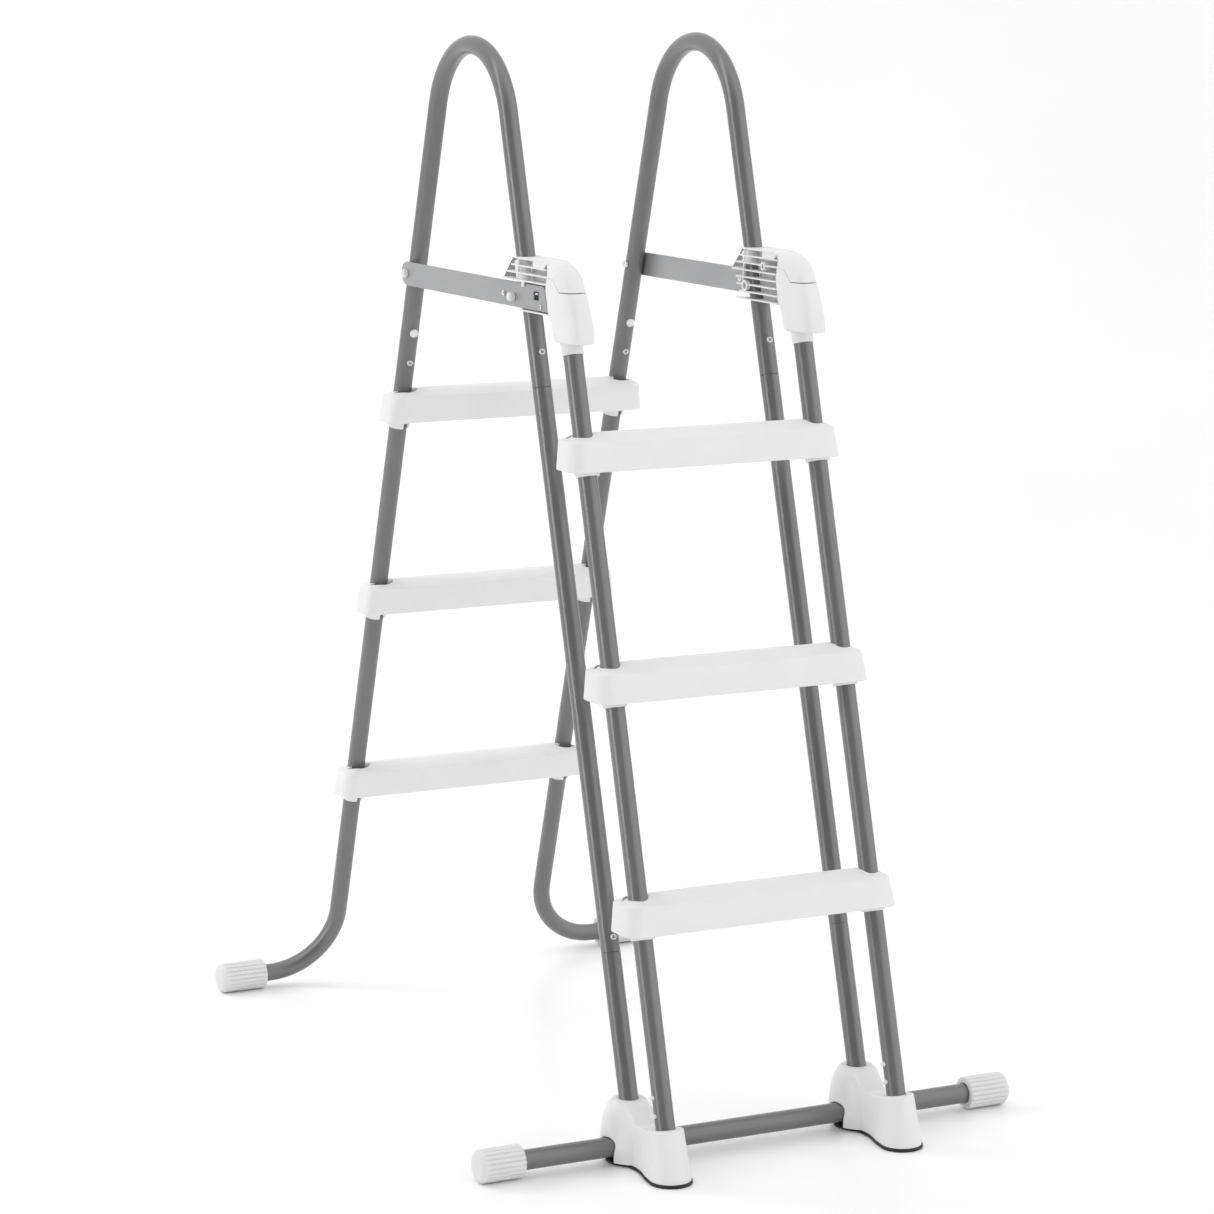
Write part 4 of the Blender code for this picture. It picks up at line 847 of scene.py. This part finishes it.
def side_bar(side, sign):
    x, mid = sign * LEG_X, BAR_MID_Z
    radius = (BAR_Z1 - BAR_Z0) / 2
    turn = np.radians(np.linspace(-90, 90, 33))
    outline = [(0.2345 + radius * math.cos(a), mid + radius * math.sin(a)) for a in turn]
    outline = [(-0.2424, BAR_Z0), *outline, (-0.2325, BAR_Z1)]
    centre = np.mean(outline, axis=0)
    rings = []
    for s, inset in ((BAR_X0, 0.0005), (BAR_X0 + 0.0005, 0), (BAR_X1 - 0.0005, 0), (BAR_X1, 0.0005)):
        ys = [py - math.copysign(inset, py - centre[0]) for py, pz in outline]
        zs = [pz - math.copysign(inset, pz - centre[1]) for py, pz in outline]
        rings.append([(x + sign * s, py, pz) for py, pz in zip(ys, zs)])
    # The bar's lighter paint is painted light: a lit copy of the tube paint.
    bar = make(f"flat_bar_{side}", [skin(rings)], LIT_BAR_STEEL)
    cuts = []
    for at, r in ((BOLT_AT, BOLT_HOLE_R), (RIVET_AT, 0.0026), (KNOB_AT, 0.0023), (SCREW_AT, 0.0022)):
        cuts.append(rod(Vector((x, *at)), Vector((x + sign * 0.04, *at)), r))
    x0, x1 = sorted((x, x + sign * 0.04))
    cuts.append(block(x0, x1, -0.2160, -0.1990, 1.1570, 1.1690))
    combine(bar, ("DIFFERENCE", cuts))
    place(bar, "frame", f"side_bar_{side}")

    def fixing(name, node, at, profile, mat, cut=None):
        obj = make(f"{name}_{side}", [turned(Vector((x, *at)), X * sign, profile, 40)], mat)
        if cut:
            combine(obj, ("DIFFERENCE", [cut]))
        place(obj, "frame", f"{node}_{side}")

    def cross_recess(at, top):
        a0, a1 = sorted((x + sign * (top - 0.0010), x + sign * (top + 0.003)))
        return skin([[(a, at[0] + u, at[1] + v) for u, v in CROSS] for a in (a0, a1)])

    head = [(-0.0178, 0.0030), (-0.0176, 0.0046), (-0.0168, 0.0055), (-0.0140, 0.0056)]
    head += [(-0.01399, 0.0029), (0.0205, 0.0029), (0.0210, 0.0024)]
    fixing("inner_bolt", "bar_bolt", BOLT_AT, head, PLATED)
    nut = [(0.0216, 0.0032), (0.0168, 0.0032), (0.0168, 0.0056), (0.0172, 0.0060), (0.0210, 0.0060)]
    turn = np.linspace(0.2, 1.5, 9)
    nut += [(0.0210 + 0.0042 * math.sin(a), 0.0060 * math.cos(a) + 0.0002) for a in turn]
    fixing("outer_cap_nut", "cap_nut", BOLT_AT, nut, PLASTIC)
    rivet = ((0.0105, 0.0022), (0.0110, 0.0038), (0.0134, 0.0038), (0.01341, 0.0022), (0.0167, 0.0022))
    rivet += ((0.01671, 0.0042), (0.0178, 0.0041), (0.0186, 0.0033), (0.0189, 0.0016))
    fixing("bar_pin", "bar_rivet", RIVET_AT, rivet, PLATED)
    knob = ((0.0105, 0.0018), (0.0110, 0.0026), (0.0134, 0.0026), (0.01341, 0.0019), (0.0167, 0.0019))
    knob += ((0.01671, 0.0052), (0.0172, 0.0055), (0.0200, 0.0057), (0.0228, 0.0060), (0.0242, 0.0058))
    knob += ((0.0255, 0.0051), (0.0263, 0.0039), (0.0267, 0.0022), (0.0268, 0.0008))
    fixing("bar_button", "bar_knob", KNOB_AT, knob, PLASTIC)
    screw = ((0.0070, 0.0010), (0.0080, 0.0017), (0.0167, 0.0017), (0.01671, 0.0038))
    screw += ((0.0176, 0.0037), (0.0184, 0.0030), (0.0188, 0.0016))
    recess = cross_recess(SCREW_AT, 0.0188)
    fixing("latch_screw", "bracket_screw", SCREW_AT, screw, PLATED, recess)


def button(name, node, body, leg, x, z):
    """A hollow-topped button with a piece of its leaf spring inside the tube."""
    centre, top, r = leg.at(x, z), TUBE_R + 0.0024, BUTTON_R
    profile = (
        (0.0060, r), (top - 0.0011, r), (top - 0.0005, r - 0.0002), (top - 0.0001, r - 0.0006),
        (top, r - 0.0012), (top - 0.0003, r - 0.0018), (top - 0.0010, r - 0.0022), (top - 0.0050, r - 0.0024),
    )
    obj = make(name, [turned(centre, leg.out, profile, 40)], ZINC)
    leaf = ((-0.0035, 0.0052), (0.0035, 0.0052), (0.0035, 0.0066), (-0.0035, 0.0066))
    strip = [[centre + leg.along * s + X * a + leg.out * b for a, b in leaf] for s in (-0.024, 0.008)]
    combine(obj, ("UNION", [skin(strip)]))
    place(obj, body, node)


def leg_plug(side, sign):
    r = TUBE_R
    profile = ((0.0100, 0.0034), (r + 0.0004, 0.0034), (r + 0.00041, 0.0060), (r + 0.0010, 0.0064))
    profile += ((r + 0.0026, 0.0063), (r + 0.0040, 0.0056), (r + 0.0049, 0.0042), (r + 0.0052, 0.0018))
    origin = REAR.at(sign * LEG_X, REAR_PLUG_Z)
    obj = make(f"rear_plug_{side}", [turned(origin, REAR.out, profile, 40)], PLASTIC)
    place(obj, "frame", f"leg_plug_{side}")


BUTTONS = (
    ("front_upper", FRONT, FRONT_BUTTON_Z), ("front_lower", FRONT, LOW_BUTTON_Z),
    ("rear_upper", REAR, REAR_BUTTON_Z),
)

cross_tube()
for i in range(3):
    step_piece(f"inner_tread_{i + 1}", f"rear_step_{i + 1}", "frame", REAR, 1, i)
    step_piece(f"outer_tread_{i + 1}", f"front_step_{i + 1}", "removable_steps", LIFT, -1, i)
for side_name, side_sign in SIDES:
    handrail(side_name, side_sign)
    legs(side_name, side_sign)
    lift_tube(side_name, side_sign)
    end_cap(
        f"floor_cap_outer_{side_name}", f"end_cap_front_{side_name}", CROSS_Y, side_sign,
        FRONT_CAP_IN, FRONT_CAP_OUT, CROSS_R,
    )
    end_cap(
        f"floor_cap_inner_{side_name}", f"end_cap_rear_{side_name}", REAR.at(0, FLOOR_TUBE_Z).y, side_sign,
        REAR_CAP_IN, REAR_CAP_OUT, TUBE_R,
    )
    shoe(side_name, side_sign)
    bracket(side_name, side_sign)
    side_bar(side_name, side_sign)
    leg_plug(side_name, side_sign)
    for at_name, leg_axis, height in BUTTONS:
        node_name, centre_x = f"button_{at_name}_{side_name}", side_sign * LEG_X
        button(f"pin_{at_name}_{side_name}", node_name, f"{node_name}_body", leg_axis, centre_x, height)

# ------------------------------------------------------------------ floor, light and camera
VIEW_TURN, VIEW_TILT = math.radians(26.67), math.radians(9.742)
FLOOR_SIZE, CYC_BACK = 14.0, 5.0
AMBIENT, STRIP_STRENGTH = 0.90, 7.0
CAMERA_AT, CAMERA_LENS, CAMERA_SENSOR = (-2.562, -5.1364, 1.667), 117.88, 36.0
# (name, position, point it faces, width and height, power)
LIGHTS = (
    ("key", (-3.2, 3.3, 2.6), (0, 0, 0.7), (1.6, 2.2), 40),
    ("fill", (2.5, -3.8, 2.6), (0, 0, 0.7), (2.0, 2.0), 24),
    ("top", (0.2, 0.4, 4.6), (0, 0, 0.6), (3.0, 3.0), 16),
    ("floor_glow", (-1.4, 3.0, 3.0), (-0.6, 1.8, 0.0), (3.5, 2.0), 26),
)


def studio():
    """A pale sweep: floor rising in a wide curve into a backdrop."""
    radius, top, across = 2.0, 9.0, 9
    start = CYC_BACK - radius
    turn = np.linspace(0, math.pi / 2, 24)[1:]
    profile = [(-FLOOR_SIZE, 0.0), (start, 0.0)]
    profile += [(start + radius * math.sin(a), radius - radius * math.cos(a)) for a in turn]
    profile.append((CYC_BACK, top))
    rings = [[(px, y, z) for px in np.linspace(-FLOOR_SIZE, FLOOR_SIZE, across)] for y, z in profile]
    verts = np.array(rings).reshape(-1, 3)
    corners = [i * across + j for i in range(len(profile) - 1) for j in range(across - 1)]
    faces = [[c, c + 1, c + across + 1, c + across] for c in corners]
    mesh = bpy.data.meshes.new("studio_floor")
    mesh.from_pydata(verts.tolist(), [], faces)
    mesh.polygons.foreach_set("use_smooth", [True] * len(mesh.polygons))
    floor = bpy.data.objects.new("studio_floor", mesh)
    floor.rotation_euler.z = -VIEW_TURN
    floor.location.z = -0.0002
    bpy.context.scene.collection.objects.link(floor)
    look = Look("studio_floor_look", Specular_IOR_Level=0.30)
    look.wire("Base Color", look.tones(look.noise(1.5, 3), 0.3, (0.955,) * 3, 0.7, (0.985,) * 3))
    look.roughness(look.noise(20, 3), 0.30, 0.36)
    mesh.materials.append(look.mat)


def area_light(name, location, target, size, power):
    data = bpy.data.lights.new(name, "AREA")
    data.shape, data.size, data.size_y, data.energy = "RECTANGLE", size[0], size[1], power
    obj = bpy.data.objects.new(name, data)
    obj.location = location
    obj.rotation_euler = (Vector(target) - Vector(location)).to_track_quat("-Z", "Y").to_euler()
    obj.visible_glossy = False
    bpy.context.scene.collection.objects.link(obj)


def studio_world():
    """White to the camera, an even glow for diffuse light, and strip boxes for reflections."""
    world = bpy.data.worlds.new("studio_world")
    world.use_nodes = True
    nodes, links = world.node_tree.nodes, world.node_tree.links
    background = nodes["Background"]
    coords, path = nodes.new("ShaderNodeTexCoord"), nodes.new("ShaderNodeLightPath")

    def math_node(operation, *inputs):
        node = nodes.new("ShaderNodeMath")
        node.operation = operation
        for socket, value in zip(node.inputs, inputs):
            if isinstance(value, (int, float)):
                socket.default_value = value
            else:
                links.new(value, socket)
        return node.outputs[0]

    def levels(value, stops):
        return colour_ramp(world.node_tree, value, [(at, (level,) * 3) for at, level in stops])

    turn = nodes.new("ShaderNodeVectorRotate")
    turn.rotation_type = "Z_AXIS"
    turn.inputs["Angle"].default_value = VIEW_TURN
    links.new(coords.outputs["Generated"], turn.inputs["Vector"])
    split = nodes.new("ShaderNodeSeparateXYZ")
    links.new(turn.outputs["Vector"], split.inputs["Vector"])
    around = math_node("ARCTAN2", split.outputs["X"], math_node("MULTIPLY", split.outputs["Y"], -1.0))
    turn_fraction = math_node("ADD", math_node("DIVIDE", around, 2 * math.pi), 0.5)
    strips = levels(turn_fraction, (
        (0.00, 0.110), (0.10, 0.160), (0.19, 0.160), (0.285, 0.030), (0.300, 0.70), (0.338, 0.70),
        (0.352, 0.012), (0.555, 0.012), (0.600, 0.200), (0.780, 0.240), (0.820, 0.060), (0.900, 0.080),
        (1.00, 0.110),
    ))
    height = math_node("ADD", math_node("MULTIPLY", split.outputs["Z"], 0.5), 0.5)
    overhead = levels(height, ((0.0, 0.15), (0.50, 0.02), (0.82, 0.02), (0.90, 0.14), (1.0, 0.16)))
    glow = math_node("MULTIPLY", math_node("MAXIMUM", strips, overhead), STRIP_STRENGTH)
    diffuse = math_node("MULTIPLY", math_node("SUBTRACT", 1.0, path.outputs["Is Glossy Ray"]), AMBIENT)
    lit = math_node("ADD", math_node("MULTIPLY", glow, path.outputs["Is Glossy Ray"]), diffuse)
    other = math_node("MULTIPLY", lit, math_node("SUBTRACT", 1.0, path.outputs["Is Camera Ray"]))
    total = math_node("ADD", path.outputs["Is Camera Ray"], other)
    links.new(total, background.inputs["Strength"])
    background.inputs["Color"].default_value = (1, 1, 1, 1)
    world.cycles.sampling_method = "NONE"
    bpy.context.scene.world = world


def camera():
    data = bpy.data.cameras.new("photo_camera")
    data.lens, data.sensor_width = CAMERA_LENS, CAMERA_SENSOR
    obj = bpy.data.objects.new("photo_camera", data)
    obj.location = CAMERA_AT
    obj.rotation_euler = (math.radians(90) - VIEW_TILT, 0, -VIEW_TURN)
    bpy.context.scene.collection.objects.link(obj)
    bpy.context.scene.camera = obj


studio()
studio_world()
for light in LIGHTS:
    area_light(*light)
camera()
bpy.context.scene.view_settings.view_transform = "Standard"
bpy.context.scene.view_settings.look = "None"
